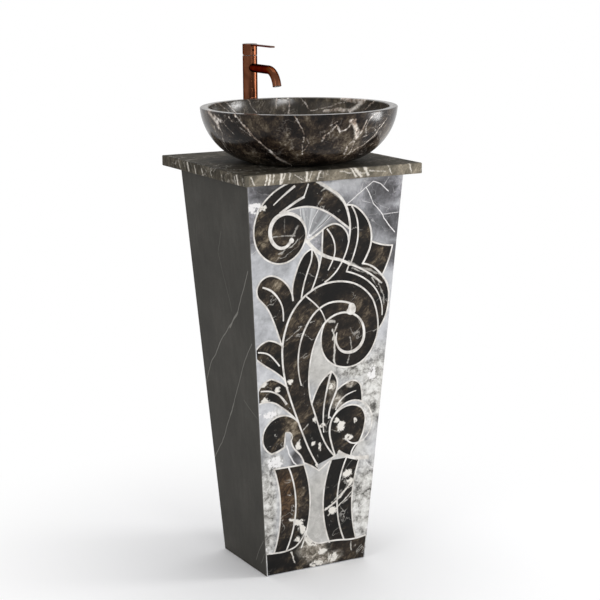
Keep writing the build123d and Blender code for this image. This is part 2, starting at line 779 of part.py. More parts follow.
with BuildPart() as trap_inlet_nut:
    turned(
        [
            (pipe_radius + pipe_clearance, union_base),
            (union_radius, union_base),
            (union_radius, union_top),
            (waste_outer, union_top),
            (waste_outer, collar_base),
            (pipe_radius + pipe_clearance, collar_base),
        ],
        waste_centre,
    )
trap_inlet_nut.part.label = "trap_inlet_nut"

with BuildPart() as trap_tailpipe:
    turned(
        [
            (pipe_radius - pipe_wall, waste_end - tailpipe_length),
            (pipe_radius, waste_end - tailpipe_length),
            (pipe_radius, collar_base),
            (tailpipe_collar_radius, collar_base),
            (tailpipe_collar_radius, waste_end),
            (pipe_radius - pipe_wall, waste_end),
        ],
        waste_centre,
    )
trap_tailpipe.part.label = "trap_tailpipe"

with BuildPart() as trap_head:
    turned(
        [
            (pipe_radius + pipe_clearance, head_top),
            (trap_neck_radius, head_top),
            (trap_neck_radius, neck_base),
            (trap_radius, neck_base - trap_shoulder),
            (trap_radius, head_base),
            (trap_radius - trap_wall, head_base),
            (trap_radius - trap_wall, neck_base - trap_shoulder),
            (pipe_radius + pipe_clearance, neck_base),
        ],
        waste_centre,
    )
    with BuildSketch(Plane.XZ.offset(trap_wall - trap_radius - bowl_centre_y)):
        with Locations((0, outlet_level)):
            Circle(pipe_radius + outlet_socket_wall)
    extrude(amount=-(trap_wall + outlet_socket))
    with BuildSketch(Plane.XZ.offset(-bowl_centre_y)):
        with Locations((0, outlet_level)):
            Circle(spigot_radius + pipe_clearance)
    extrude(amount=-(trap_radius + outlet_socket), mode=Mode.SUBTRACT)
trap_head.part.label = "trap_head"

with BuildPart() as trap_cup:
    cup_top = head_base + cup_thread
    cup_base = cup_top - trap_cup_height
    cup_bore = trap_radius + pipe_clearance
    turned(
        [
            (0, cup_base),
            (cup_bore + trap_wall - cup_chamfer, cup_base),
            (cup_bore + trap_wall, cup_base + cup_chamfer),
            (cup_bore + trap_wall, cup_top),
            (cup_bore, cup_top),
            (cup_bore, cup_base + cup_chamfer + trap_wall),
            (cup_bore - cup_chamfer, cup_base + trap_wall),
            (0, cup_base + trap_wall),
        ],
        waste_centre,
    )
trap_cup.part.label = "trap_cup"

socket_start = bowl_centre_y + trap_radius
socket_end = socket_start + outlet_socket
nut_end = socket_end + outlet_nut_height
pipe_start = nut_end + pipe_setback

with BuildPart() as outlet_pipe:
    with BuildSketch(Plane.XZ.offset(-socket_start - pipe_setback)):
        with Locations((0, outlet_level)):
            Circle(spigot_radius)
    extrude(amount=-(outlet_reach - socket_start - pipe_setback))
    with BuildSketch(Plane.XZ.offset(-pipe_start)):
        with Locations((0, outlet_level)):
            Circle(pipe_radius)
    extrude(amount=-(outlet_reach - pipe_start))
    with BuildSketch(Plane.XZ.offset(-socket_start)):
        with Locations((0, outlet_level)):
            Circle(pipe_radius - pipe_wall)
    extrude(amount=-outlet_reach, mode=Mode.SUBTRACT)
outlet_pipe.part.label = "outlet_pipe"

with BuildPart() as trap_outlet_nut:
    with BuildSketch(Plane.XZ.offset(-socket_end)):
        with Locations((0, outlet_level)):
            RegularPolygon(outlet_nut_radius, 8)
            Circle(spigot_radius + pipe_clearance, mode=Mode.SUBTRACT)
    extrude(amount=-outlet_nut_height)
trap_outlet_nut.part.label = "trap_outlet_nut"

# Tap body and spout

tap_centre = (0, tap_y)
seal_top = slab_top + tap_seal_thickness
port_gap = spout_radius + fit_clearance
bend_turn = radians(spout_bend_angle)
spout_tangent = Vector(0, -cos(bend_turn), -sin(bend_turn))
bend_end = Vector(
    0,
    spout_bend_y - spout_bend_radius * sin(bend_turn),
    spout_height - spout_bend_radius * (1 - cos(bend_turn)),
)
spout_end = bend_end + spout_tangent * spout_tail
outlet_face = Plane(origin=spout_end, x_dir=(1, 0, 0), z_dir=spout_tangent)

with BuildPart() as tap_base_seal:
    rod(slab_top, seal_top, tap_flange_radius - tap_seal_setback, tap_centre)
    rod(slab_top, seal_top, tap_radius, tap_centre, Mode.SUBTRACT)
tap_base_seal.part.label = "tap_base_seal"

with BuildPart() as tap_body:
    rod(seal_top, body_base, tap_flange_radius, tap_centre)
    rod(body_base, tap_joint_height, tap_radius, tap_centre)
    rod(chamber_floor, tap_joint_height, chamber_radius, tap_centre, Mode.SUBTRACT)
    for x_side in (-1, 1):
        inlet_centre = (x_side * inlet_offset, tap_y - inlet_set_forward)
        rod(seal_top, seal_top + inlet_thread_length, inlet_thread_radius, inlet_centre, Mode.SUBTRACT)
        rod(seal_top, chamber_floor, waterway_radius, inlet_centre, Mode.SUBTRACT)
    rod(seal_top, seal_top + stud_grip, stud_radius + fit_clearance, (0, tap_y + stud_offset),
        Mode.SUBTRACT)
    with BuildSketch(Plane.XZ.offset(-tap_y)):
        with Locations((0, spout_height)):
            Circle(port_gap)
    extrude(amount=tap_radius + 1, mode=Mode.SUBTRACT)
tap_body.part.label = "tap_body"

with BuildPart() as tap_spout:
    with BuildLine(Plane.YZ):
        Line((tap_y, spout_height), (spout_bend_y, spout_height))
        JernArc((spout_bend_y, spout_height), (-1, 0), spout_bend_radius, spout_bend_angle)
        Line((bend_end.Y, bend_end.Z), (spout_end.Y, spout_end.Z))
    with BuildSketch(Plane.XZ.offset(-tap_y)):
        with Locations((0, spout_height)):
            Circle(spout_radius)
            Circle(spout_bore, mode=Mode.SUBTRACT)
    sweep()
    rod(spout_height - 2 * spout_radius, spout_height + 2 * spout_radius, chamber_radius, tap_centre,
        Mode.SUBTRACT)
tap_spout.part.label = "tap_spout"

with BuildPart() as aerator:
    with BuildSketch(outlet_face):
        Circle(spout_bore - fit_clearance)
    extrude(amount=-aerator_length)
    with BuildSketch(outlet_face):
        Circle(spout_bore - aerator_rim)
    extrude(amount=-aerator_recess, mode=Mode.SUBTRACT)
aerator.part.label = "aerator"

with BuildPart() as tap_stud:
    rod(seal_top + stud_grip - stud_length, seal_top + stud_grip, stud_radius, (0, tap_y + stud_offset))
tap_stud.part.label = "tap_stud"

with BuildPart() as clamp_plate:
    with BuildSketch(Plane.XY.offset(pedestal_height)):
        with Locations(tap_centre):
            Circle(clamp_plate_radius)
        with Locations((0, tap_y + clamp_slot_back - clamp_plate_radius)):
            Rectangle(clamp_slot_width, 2 * clamp_plate_radius, mode=Mode.SUBTRACT)
        with Locations((0, tap_y + stud_offset)):
            Circle(stud_radius + pipe_clearance, mode=Mode.SUBTRACT)
    extrude(amount=-clamp_plate_thickness)
clamp_plate.part.label = "clamp_plate"

with BuildPart() as stud_nut:
    with BuildSketch(Plane.XY.offset(pedestal_height - clamp_plate_thickness)):
        with Locations((0, tap_y + stud_offset)):
            RegularPolygon(stud_nut_width / 2, 6, major_radius=False)
            Circle(stud_radius + fit_clearance, mode=Mode.SUBTRACT)
    extrude(amount=-stud_nut_height)
stud_nut.part.label = "stud_nut"

# Cartridge and handle

housing_top = chamber_floor + cartridge_height
neck_top = housing_top + cartridge_neck_height
nut_top = housing_top + cartridge_nut_height
bush_base = neck_top - bush_depth
bush_top = pivot_level + bush_rise
cavity_top = cap_top - cap_roof
grub_level = cap_top - grub_drop
boss_base = grub_level - grub_radius - boss_margin
spindle_top = cap_top - spindle_cover
lever_base = cap_top - lever_thickness - lever_sink

with BuildPart() as cartridge_housing:
    rod(chamber_floor, housing_top, chamber_radius - fit_clearance, tap_centre)
    rod(housing_top, neck_top, cartridge_neck_radius, tap_centre)
    rod(bush_base, neck_top, bush_radius + fit_clearance, tap_centre, Mode.SUBTRACT)
cartridge_housing.part.label = "cartridge_housing"

with BuildPart() as cartridge_nut:
    rod(housing_top, nut_top, chamber_radius - fit_clearance, tap_centre)
    rod(housing_top, nut_top, cartridge_neck_radius + fit_clearance, tap_centre, Mode.SUBTRACT)
cartridge_nut.part.label = "cartridge_nut"

pivot_plane = Plane(origin=(0, tap_y, pivot_level), x_dir=(0, 1, 0), z_dir=(1, 0, 0))

with BuildPart() as cartridge_bush:
    rod(bush_base, bush_top, bush_radius, tap_centre)
    with BuildSketch(Plane.XY.offset(bush_top)):
        with Locations(tap_centre):
            Rectangle(spindle_width + 2 * slot_clearance, 3 * bush_radius)
    extrude(amount=-(bush_rise + slot_depth), mode=Mode.SUBTRACT)
    with BuildSketch(pivot_plane):
        Circle(pivot_pin_radius)
    extrude(amount=bush_radius, both=True, mode=Mode.SUBTRACT)
cartridge_bush.part.label = "cartridge_bush"

with BuildPart() as pivot_pin:
    with BuildSketch(pivot_plane):
        Circle(pivot_pin_radius)
    extrude(amount=pivot_pin_length / 2, both=True)
pivot_pin.part.label = "pivot_pin"

with BuildPart() as spindle:
    with BuildSketch(Plane.XY.offset(pivot_level - spindle_tail)):
        with Locations(tap_centre):
            Rectangle(spindle_width, spindle_width)
    extrude(amount=spindle_tail + spindle_top - pivot_level)
    with BuildSketch(pivot_plane):
        Circle(pivot_pin_radius + fit_clearance)
    extrude(amount=spindle_width, both=True, mode=Mode.SUBTRACT)
spindle.part.label = "spindle"

spindle_half = spindle_width / 2

with BuildPart() as handle_cap:
    rod(cap_base, cap_top, tap_radius, tap_centre)
    chamfer(edges().group_by(Axis.Z)[-1], cap_edge)
    rod(cap_base, cavity_top, tap_radius - cap_wall, tap_centre, Mode.SUBTRACT)
    rod(boss_base, cavity_top, cap_boss_radius, tap_centre)
    with BuildSketch(Plane.XY.offset(boss_base)):
        with Locations(tap_centre):
            Rectangle(spindle_width + 2 * fit_clearance, spindle_width + 2 * fit_clearance)
    extrude(amount=spindle_top + fit_clearance - boss_base, mode=Mode.SUBTRACT)
    with BuildSketch(Plane.XY.offset(lever_base)):
        with Locations((0, tap_y - lever_root - tap_radius)):
            Rectangle(lever_width + 2 * fit_clearance, 2 * tap_radius + 2 * fit_clearance)
    extrude(amount=lever_thickness + 1, mode=Mode.SUBTRACT)
    with BuildSketch(Plane.XZ.offset(-tap_y)):
        with Locations((0, grub_level)):
            Circle(grub_radius + fit_clearance)
    extrude(amount=tap_radius + 1, mode=Mode.SUBTRACT)
    relief_rise = 2 * tap_radius * tan(radians(lift_angle + relief_margin))
    with BuildSketch(Plane.YZ):
        Polygon(
            (tap_y, cap_base),
            (tap_y + 2 * tap_radius, cap_base),
            (tap_y + 2 * tap_radius, cap_base + relief_rise),
            align=None,
        )
    extrude(amount=2 * tap_radius, both=True, mode=Mode.SUBTRACT)
handle_cap.part.label = "handle_cap"

with BuildPart() as handle_lever:
    with BuildSketch(Plane.XY.offset(lever_base)):
        with Locations((0, tap_y - (lever_reach + lever_root) / 2)):
            Rectangle(lever_width, lever_reach - lever_root)
        fillet(vertices().group_by(Axis.Y)[0], lever_corner)
    extrude(amount=lever_thickness)
handle_lever.part.label = "handle_lever"

with BuildPart() as grub_screw:
    with BuildSketch(Plane.XZ.offset(spindle_half - tap_y)):
        with Locations((0, grub_level)):
            Circle(grub_radius)
    extrude(amount=cap_boss_radius - spindle_half)
grub_screw.part.label = "grub_screw"

pieces = [
    vessel_bowl, countertop_slab, front_panel, left_panel, right_panel, back_panel, base_plate,
    *corner_blocks, inlay_scroll, inlay_crest_leaves, inlay_stem, inlay_left_leaves,
    inlay_centre_leaves, inlay_volutes, inlay_legs, inlay_base_strip, joint_lines,
    waste_flange_seal, waste_body, latch_cartridge, waste_plug, plug_seal, waste_washer,
    waste_backnut, trap_inlet_nut, trap_tailpipe, trap_head, trap_cup, trap_outlet_nut,
    outlet_pipe, tap_base_seal, tap_body, tap_spout, aerator, tap_stud, clamp_plate, stud_nut,
    cartridge_housing, cartridge_nut, cartridge_bush, pivot_pin, spindle, handle_cap,
    handle_lever, grub_screw,
]

os.makedirs("parts", exist_ok=True)
for piece in pieces:
    export_step(piece.part, f"parts/{piece.part.label}.step")
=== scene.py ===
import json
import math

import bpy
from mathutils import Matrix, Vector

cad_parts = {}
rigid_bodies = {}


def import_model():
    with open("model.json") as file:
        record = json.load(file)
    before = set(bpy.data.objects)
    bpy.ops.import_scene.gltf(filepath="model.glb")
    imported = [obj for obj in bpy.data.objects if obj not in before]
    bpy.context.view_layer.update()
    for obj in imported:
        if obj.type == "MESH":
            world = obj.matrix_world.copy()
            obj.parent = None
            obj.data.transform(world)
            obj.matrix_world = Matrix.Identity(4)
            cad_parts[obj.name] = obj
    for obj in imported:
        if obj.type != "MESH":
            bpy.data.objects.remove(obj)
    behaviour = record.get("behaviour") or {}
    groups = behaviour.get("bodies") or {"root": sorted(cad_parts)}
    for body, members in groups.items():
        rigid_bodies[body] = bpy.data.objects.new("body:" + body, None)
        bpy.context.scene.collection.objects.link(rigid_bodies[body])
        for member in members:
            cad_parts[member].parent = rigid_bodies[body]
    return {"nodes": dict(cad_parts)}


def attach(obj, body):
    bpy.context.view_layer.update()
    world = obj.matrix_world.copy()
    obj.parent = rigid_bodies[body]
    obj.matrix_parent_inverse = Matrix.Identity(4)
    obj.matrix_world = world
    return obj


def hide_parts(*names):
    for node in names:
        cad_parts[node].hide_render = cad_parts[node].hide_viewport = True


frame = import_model()

# %% [markdown]
# # A marble pedestal basin
#
# The object is a round bowl cut from dark veined marble. It stands on a square slab, and the slab lies on a
# tapered pedestal of four mitred panels. The front panel is pale marble with a scrolling leaf ornament
# of dark stones and white lines let into it. The solids come from the CAD model that was just loaded,
# one object for each part of the product. This lesson gives them their finishes, adds the small
# things that a solid model leaves out, and sets up a plain studio round them.

nodes = frame["nodes"]
for thing in list(bpy.data.objects):
    if thing.name in ("Cube", "Light", "Camera"):
        bpy.data.objects.remove(thing)
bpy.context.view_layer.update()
print("parts from the CAD model:", len(nodes))

# %% [markdown]
# ## The camera
#
# The photograph was taken with a long lens, from the front left and a little above the bowl's rim. A
# camera is easiest to trust when its place and its three directions are written down. The place and
# angles here were found by lining up the corners of the slab and of the pedestal, so the model falls
# where the photograph has it.

# %% Camera
camera_place = Vector((-1.5501, -2.9454, 1.2064))
turn, dip, roll = (math.radians(angle) for angle in (28.0338, 11.6732, -0.4965))
forward = Vector((math.sin(turn) * math.cos(dip), math.cos(turn) * math.cos(dip), -math.sin(dip)))
level_right = Vector((math.cos(turn), -math.sin(turn), 0))
level_up = level_right.cross(forward)
right = math.cos(roll) * level_right + math.sin(roll) * level_up
up = math.cos(roll) * level_up - math.sin(roll) * level_right
bpy.ops.object.camera_add(location=camera_place)
camera = bpy.context.object
camera.rotation_euler = Matrix((right, up, -forward)).transposed().to_euler()
camera.data.lens = 104.55
camera.data.sensor_width = 36
bpy.context.scene.camera = camera
print("camera looks along", [round(part, 3) for part in forward])

# %% [markdown]
# ## Writing finishes as sums
#
# A procedural finish is a small calculation that runs at every point of a surface. Wiring it by hand
# takes dozens of boxes, and written as a sum it takes a line. `Wire` is one value on its way through the
# finish: adding or multiplying wires adds the Math nodes.

# %% Wires
class Wire:
    """A value that changes over the surface. Sums of wires add Math nodes."""

    def __init__(self, finish, socket):
        self.finish = finish
        self.socket = socket

    def maths(self, operation, first, second=0.0, clamp=False):
        settings = {"operation": operation, "use_clamp": clamp}
        return self.finish.node("Math", settings, {0: first, 1: second})

    def __add__(self, other):
        return self.maths("ADD", self, other)

    def __sub__(self, other):
        return self.maths("SUBTRACT", self, other)

    def __rsub__(self, other):
        return self.maths("SUBTRACT", other, self)

    def __mul__(self, other):
        return self.maths("MULTIPLY", self, other)

    def __pow__(self, other):
        return self.maths("POWER", self, other)

    def __abs__(self):
        return self.maths("ABSOLUTE", self)

    __radd__ = __add__
    __rmul__ = __mul__

    def or_more(self, other):
        return self.maths("MAXIMUM", self, other)

    def or_less(self, other):
        return self.maths("MINIMUM", self, other)

    def angle_to(self, other):
        """The angle of the direction whose sine side is this wire and whose cosine side is the other."""
        return self.maths("ARCTAN2", self, other)

    def held(self):
        """The value, kept between 0 and 1."""
        return self.maths("ADD", self, 0.0, clamp=True)


# %% [markdown]
# Colours are written as web codes, which every colour picker shows. Blender works with linear numbers,
# in which a middle grey is nearer to a fifth than to a half, so each code is turned into those.

# %% Colours
def tint(code):
    """A colour written as a web code, as the linear numbers that Blender works with."""
    parts = [int(code[at:at + 2], 16) / 255 for at in (1, 3, 5)]
    return [part / 12.92 if part < 0.04 else ((part + 0.055) / 1.055) ** 2.4 for part in parts] + [1]


print("a middle grey in linear numbers:", round(tint("#808080")[0], 3))

# %% [markdown]
# A material and the world are both trees of nodes. `Sums` has the one method that adds any node that
# isn't plain maths, so that both are written in the same way.

# %% Sums of nodes
class Sums:
    """A tree of nodes that sums of wires are written into."""

    def __init__(self, tree):
        self.tree = tree
        self.tree.nodes.clear()

    def node(self, kind, settings=None, inputs=None, out=0):
        """Adds a node: first its settings, then the values or wires of its sockets."""
        made = self.tree.nodes.new("ShaderNode" + kind)
        for name, value in (settings or {}).items():
            if name == "stops":
                ramp = made.color_ramp.elements
                while len(ramp) < len(value):
                    ramp.new(1)
                for stop, (position, colour) in zip(ramp, value):
                    stop.position = position
                    stop.color = colour
            else:
                setattr(made, name, value)
        for name, value in (inputs or {}).items():
            if isinstance(value, Wire):
                self.tree.links.new(value.socket, made.inputs[name])
            else:
                made.inputs[name].default_value = value
        return Wire(self, made.outputs[out]) if made.outputs else made

    def seen_background(self):
        """1 for rays that show the background: straight to the camera, in a mirror or through glass."""
        seen = [self.node("LightPath", out=f"Is {kind} Ray") for kind in ("Camera", "Glossy", "Transmission")]
        return seen[0].or_more(seen[1]).or_more(seen[2])


# %% [markdown]
# `Finish` is a material with short names for the few patterns that stone and metal need: clouds of
# noise, thin threads where a noise crosses its middle, nets of cracks, soft patches, and veins that are
# drawn from point to point. Noise gives a stone its kind, and drawn veins give this stone its face.

# %% Finishes
class Finish(Sums):
    """A material made of a Principled shader and the patterns that feed it."""

    def __init__(self, name, **constants):
        self.material = bpy.data.materials.new(name)
        self.material.use_nodes = True
        super().__init__(self.material.node_tree)
        self.surface = self.node("BsdfPrincipled")
        self.shader = self.surface.socket.node
        self.end = self.node("OutputMaterial", None, {"Surface": self.surface})
        for name, value in constants.items():
            self.shader.inputs[name.replace("_", " ")].default_value = value
        self.place = self.node("TexCoord", out="Object")

    def feed(self, **wires):
        """Joins wires to sockets of the shader."""
        for name, wire in wires.items():
            self.tree.links.new(wire.socket, self.shader.inputs[name.replace("_", " ")])

    def arrows(self, operation, first, second=(0, 0, 0), third=None):
        """Vector maths on places and directions."""
        inputs = {0: first, 1: second}
        if third is not None:
            inputs[2] = third
        single = operation in ("LENGTH", "DISTANCE", "DOT_PRODUCT")
        return self.node("VectorMath", {"operation": operation}, inputs, out=1 if single else 0)

    def scaled(self, place, amount):
        """A place or direction times a number."""
        return self.node("VectorMath", {"operation": "SCALE"}, {0: place, "Scale": amount})

    def ramp(self, value, *stops):
        """Colours along a value, from pairs of position and web code."""
        listed = [(position, tint(code)) for position, code in stops]
        return self.node("ValToRGB", {"stops": listed}, {0: value})

    def mix(self, first, second, share):
        """Two colours, with the given share of the second."""
        return self.node("Mix", {"data_type": "RGBA"}, {0: share, 6: first, 7: second}, out=2)

    def noise(self, place, scale, detail=3.0, roughness=0.5, out=0):
        """Clouds between 0 and 1, mostly near the middle. Output 1 is a colour, used as a direction."""
        inputs = {"Vector": place, "Scale": scale, "Detail": detail, "Roughness": roughness}
        return self.node("TexNoise", None, inputs, out=out)

    def split(self, place):
        """The X, Y and Z of a place."""
        first = self.node("SeparateXYZ", None, {0: place})
        return [Wire(self, output) for output in first.socket.node.outputs]

    def joined(self, x=0.0, y=0.0, z=0.0):
        """A place made of three values."""
        return self.node("CombineXYZ", None, {0: x, 1: y, 2: z})

    def fade(self, value, full, none):
        """1 where the value is at full, 0 where it is at none, and smooth between."""
        inputs = {"Value": value, "From Min": none, "From Max": full}
        return self.node("MapRange", {"interpolation_type": "SMOOTHSTEP"}, inputs)

    def turned(self, turns=(0, 0, 0), sizes=(1, 1, 1), place=None):
        """The place in a frame that is turned and stretched, so that a pattern can run at a slant."""
        inputs = {0: place or self.place, 2: [math.radians(turn) for turn in turns], 3: sizes}
        return self.node("Mapping", {"vector_type": "TEXTURE"}, inputs)

    def wandered(self, place, scale, amount, detail=2.0):
        """The place pushed about by noise, which makes straight things wander."""
        push = self.noise(place, scale, detail, out=1)
        pushed = self.arrows("MULTIPLY_ADD", push, (amount, amount, amount), place)
        return self.arrows("SUBTRACT", pushed, (amount / 2, amount / 2, amount / 2))

    def threads(self, place, scale, width, detail=3.0):
        """Thin veins where a noise crosses its middle value."""
        return self.fade(abs(self.noise(place, scale, detail) - 0.5), 0.0, width)

    def cracks(self, place, scale, width):
        """A net of thin veins along the borders of cells."""
        settings = {"feature": "DISTANCE_TO_EDGE"}
        edge = self.node("TexVoronoi", settings, {"Vector": place, "Scale": scale})
        return self.fade(edge, 0.0, width)

    def patch(self, place, centre, reach):
        """A soft spot round a centre, with its own reach along each axis."""
        offset = self.arrows("SUBTRACT", place, centre)
        share = self.arrows("DIVIDE", offset, reach)
        return self.fade(self.arrows("LENGTH", share), 0.35, 1.0)

    def drawn(self, place, points, width, rag=0.0):
        """A vein along the straight runs between points, on the flat of X and Z, in millimetres."""
        least = None
        corners = [Vector((x / 1000, 0, z / 1000)) for x, z in points]
        for start, end in zip(corners, corners[1:]):
            run = end - start
            offset = self.arrows("SUBTRACT", place, start)
            along = self.arrows("DOT_PRODUCT", offset, run / run.length_squared).or_more(0.0)
            nearest = self.scaled(tuple(run), along.or_less(1.0))
            distance = self.arrows("DISTANCE", offset, nearest)
            least = distance if least is None else least.or_less(distance)
        return self.fade(least + rag, 0.25 * width, width)

    def drawn_all(self, place, veins, rag=0.0):
        """Several drawn veins: points, width and strength of each. Rag frays their edges."""
        whole = None
        for points, width, strength in veins:
            vein = self.drawn(place, points, width, rag) * strength
            whole = vein if whole is None else whole.or_more(vein)
        return whole

    def torn(self, spots, noise):
        """Soft spots broken into the torn fragments that mineral patches have."""
        middle, softness = 0.620, 0.028
        fragments = self.fade(spots * 0.17 + noise, middle + softness, middle - softness)
        return fragments * self.fade(spots, 0.35, 0.0)

    def bumped(self, height, distance):
        """Small hills and hollows, as high as the distance in metres."""
        self.feed(Normal=self.node("Bump", None, {"Height": height, "Distance": distance}))

    def cover(self, *names):
        """Gives this finish to CAD parts."""
        for name in names:
            nodes[name].data.materials.clear()
            nodes[name].data.materials.append(self.material)


print("ways to make a pattern:", [name for name in vars(Finish) if not name.startswith("_")])

# %% [markdown]
# ## The bowl's marble
#
# The bowl is turned from one block of a nearly black marble with brown clouds. Thin cream veins
# run down across it at a slant, some break up into nets, and a few widen into pale pink patches. A
# pattern on the object's own coordinates runs straight through the stone, as real veins do, so the inside
# and outside of the bowl belong together. The polish mirrors the studio softly: some roughness and a low
# specular level keep it from looking like wet plastic.

# %% Bowl marble
bowl = Finish("bowl_marble", Specular_IOR_Level=0.15)
slant = bowl.turned((0, 38, 20), (1.0, 1.0, 2.4))
steep = bowl.turned((20, 42, 0), (1.0, 1.0, 5.0))
clouds = bowl.noise(bowl.wandered(bowl.place, 14.0, 0.06, 3), 17.0, 7, 0.66)
mottle = bowl.noise(bowl.wandered(slant, 40.0, 0.02, 3), 62.0, 7, 0.74)
grain = bowl.noise(bowl.place, 260.0, 5, 0.75)
mixed = clouds * 0.42 + mottle * 0.38 + grain * 0.2
body = bowl.ramp(mixed, (0.42, "#0a0706"), (0.48, "#1f1814"), (0.53, "#3a3026"), (0.58, "#5e5445"),
                 (0.65, "#9b8f7d"))
where = bowl.fade(bowl.noise(bowl.place, 6.5, 1), 0.58, 0.48)
loose = bowl.wandered(steep, 40.0, 0.012, 3)
long_veins = bowl.threads(loose, 7.0, 0.006, 4) * bowl.fade(bowl.noise(slant, 9.0, 1), 0.50, 0.40)
fine_veins = bowl.threads(bowl.wandered(slant, 30.0, 0.05, 4), 15.0, 0.006, 6) * where
net = bowl.cracks(bowl.wandered(bowl.place, 34.0, 0.05, 5), 30.0, 0.035)
net = net * bowl.fade(bowl.noise(bowl.place, 9.0, 2), 0.60, 0.52)
specks = bowl.fade(grain * 0.5 + mottle * 0.5, 0.62, 0.57) * where
fine_work = (fine_veins * 0.6).or_more(net * 0.45).or_more(specks * 0.6)
print("bowl marble so far:", len(bowl.tree.nodes), "nodes")

# %% [markdown]
# A round thing is easiest to draw on unrolled, like a label on a jar: the angle about the bowl's axis gives
# the distance along, and Z the height. The bowl's outer wall is an arc, so at each height its radius is
# known, and half the thickness of the wall parts what is drawn on the outside from the inside.

# %% The bowl unrolled
bowl_forward = 0.036
jar_radius = 150
arc_centre, arc_level, arc_square = 0.07426, 0.90787, 0.012772
across, deep, height = bowl.split(bowl.arrows("ADD", bowl.place, (0, bowl_forward, 0)))
angle = across.angle_to(deep * -1.0)
unrolled = bowl.wandered(bowl.joined(angle * (jar_radius / 1000), 0.0, height), 70.0, 0.006, 4)
rag = (bowl.noise(bowl.place, 210.0, 6, 0.8) - 0.5) * 0.010 + 0.0003
from_axis = bowl.arrows("LENGTH", bowl.joined(across, deep))
wall_outside = arc_centre + (arc_square - (height - arc_level) ** 2.0) ** 0.5
outside = bowl.fade(from_axis - wall_outside, -0.005, -0.010)


def on_jar(points):
    """Points given in degrees and millimetres, as distances along and up."""
    return [(math.radians(angle) * jar_radius, level) for angle, level in points]


print("a quarter of the way round the label:", round(on_jar([(90, 0)])[0][0]), "mm")

# %% [markdown]
# The veins that the photograph shows on the bowl are drawn in their places, those of the outside first. Each
# has its points, its width in metres and how strong it is. Noise could not put a vein where a real one is.

# %% Outer veins of the bowl
outer_veins = [
    ([(-67, 900), (-61, 881), (-57, 864), (-53, 849), (-48, 835), (-45, 824), (-42, 812), (-36, 802)],
     0.0021, 1),
    ([(-71, 893), (-66, 880), (-59, 864), (-55, 856)], 0.0012, 0.8),
    ([(-47, 830), (-43, 815), (-37, 805)], 0.0044, 0.9),
    ([(-31, 900), (-28, 886), (-26, 874), (-25, 858), (-26, 845), (-26, 826)], 0.0014, 0.9),
    ([(-24, 858), (-22, 848), (-25, 834)], 0.0011, 0.7),
    ([(-14, 852), (-13, 862), (-9, 870), (-6, 880), (-4, 867), (0, 871), (2, 880), (6, 889)], 0.0022, 1),
    ([(-10, 880), (-6, 888)], 0.0014, 0.8), ([(3, 886), (6, 876), (8, 866), (9, 856)], 0.0066, 1),
    ([(14, 886), (12, 870), (9, 852)], 0.0022, 0.8), ([(8, 852), (4, 838), (6, 822)], 0.0022, 0.8),
    ([(34, 885), (27, 866), (23, 849), (18, 838), (13, 832), (11, 822)], 0.0018, 0.95),
    ([(6, 866), (8, 847), (10, 827), (9, 812)], 0.0018, 0.8),
    ([(20, 897), (16, 887), (14, 872), (18, 844)], 0.0014, 0.7),
    ([(28, 876), (22, 862), (10, 850)], 0.0011, 0.6), ([(-80, 896), (-76, 880), (-70, 862)], 0.0012, 0.6),
    ([(-92, 899), (-87, 890), (-82, 881), (-83, 872)], 0.0058, 1), ([(-84, 892), (-79, 884)], 0.0042, 0.9),
    ([(-87, 874), (-88, 855), (-87, 838), (-89, 817)], 0.0016, 0.8),
    ([(-82, 878), (-81, 860), (-84, 844)], 0.0016, 0.7),
]
drawn_outside = bowl.drawn_all(unrolled, [(on_jar(points), *rest) for points, *rest in outer_veins], rag)
print("veins drawn outside:", len(outer_veins))

# %% [markdown]
# The inside of the wall has its own veins, and a painted sheen, the soft reflection of the polished
# inside, makes it a little greyer. The nets and threads that noise makes are at full strength only on
# the sides that the photograph hides, so that they don't cover the drawn ones.

# %% Inner veins of the bowl
inner_veins = [
    ([(-137, 902), (-141, 893)], 0.0014, 0.7), ([(-142, 902), (-148, 893), (-155, 880)], 0.0018, 0.9),
    ([(-151, 902), (-156, 891), (-162, 874)], 0.0020, 0.9),
    ([(-173, 900), (-175, 885), (-178, 874)], 0.0016, 0.85),
    ([(166, 900), (167, 890), (167, 880)], 0.0022, 0.9), ([(159, 902), (158, 888), (159, 868)], 0.0022, 0.9),
    ([(152, 902), (147, 887), (144, 874)], 0.0018, 0.9), ([(144, 874), (134, 881), (120, 893)], 0.0014, 0.8),
    ([(134, 874), (125, 878), (115, 878)], 0.0050, 0.9), ([(122, 899), (113, 896), (104, 897)], 0.0060, 1),
    ([(104, 897), (109, 887), (115, 876)], 0.0056, 1), ([(93, 901), (97, 893), (102, 882)], 0.0022, 0.9),
]
drawn_inside = bowl.drawn_all(unrolled, [(on_jar(points), *rest) for points, *rest in inner_veins], rag)
drawn = drawn_outside * outside + drawn_inside * (1 - outside)
drawn = drawn * (0.45 + 0.55 * bowl.fade(bowl.noise(bowl.place, 130.0, 3, 0.6), 0.52, 0.42))
back_deep, back_across = 0.88, 0.47
facing = bowl.fade(deep * back_deep + across * back_across, 0.06, -0.02)
unseen = facing * outside + (1 - facing) * (1 - outside)
veins = drawn.or_more(long_veins * unseen).or_more(fine_work * (0.3 + 0.7 * unseen)).held()
cream = bowl.ramp(mottle, (0.42, "#8f7c6d"), (0.50, "#c9bdb0"), (0.58, "#ece5dd"))
# Painted sheen: the inside of the wall is mixed a little towards a pale grey, as its reflections make it
# look.
body = bowl.mix(body, tint("#67645b"), (1 - outside) * 0.22)
bowl.feed(Base_Color=bowl.mix(body, cream, veins), Roughness=0.15 + 0.1 * clouds + 0.08 * veins)
bowl.bumped(mottle * 0.4 + veins * 0.3, 0.0001)
bowl.cover("vessel_bowl")
print("bowl marble:", len(bowl.tree.nodes), "nodes")
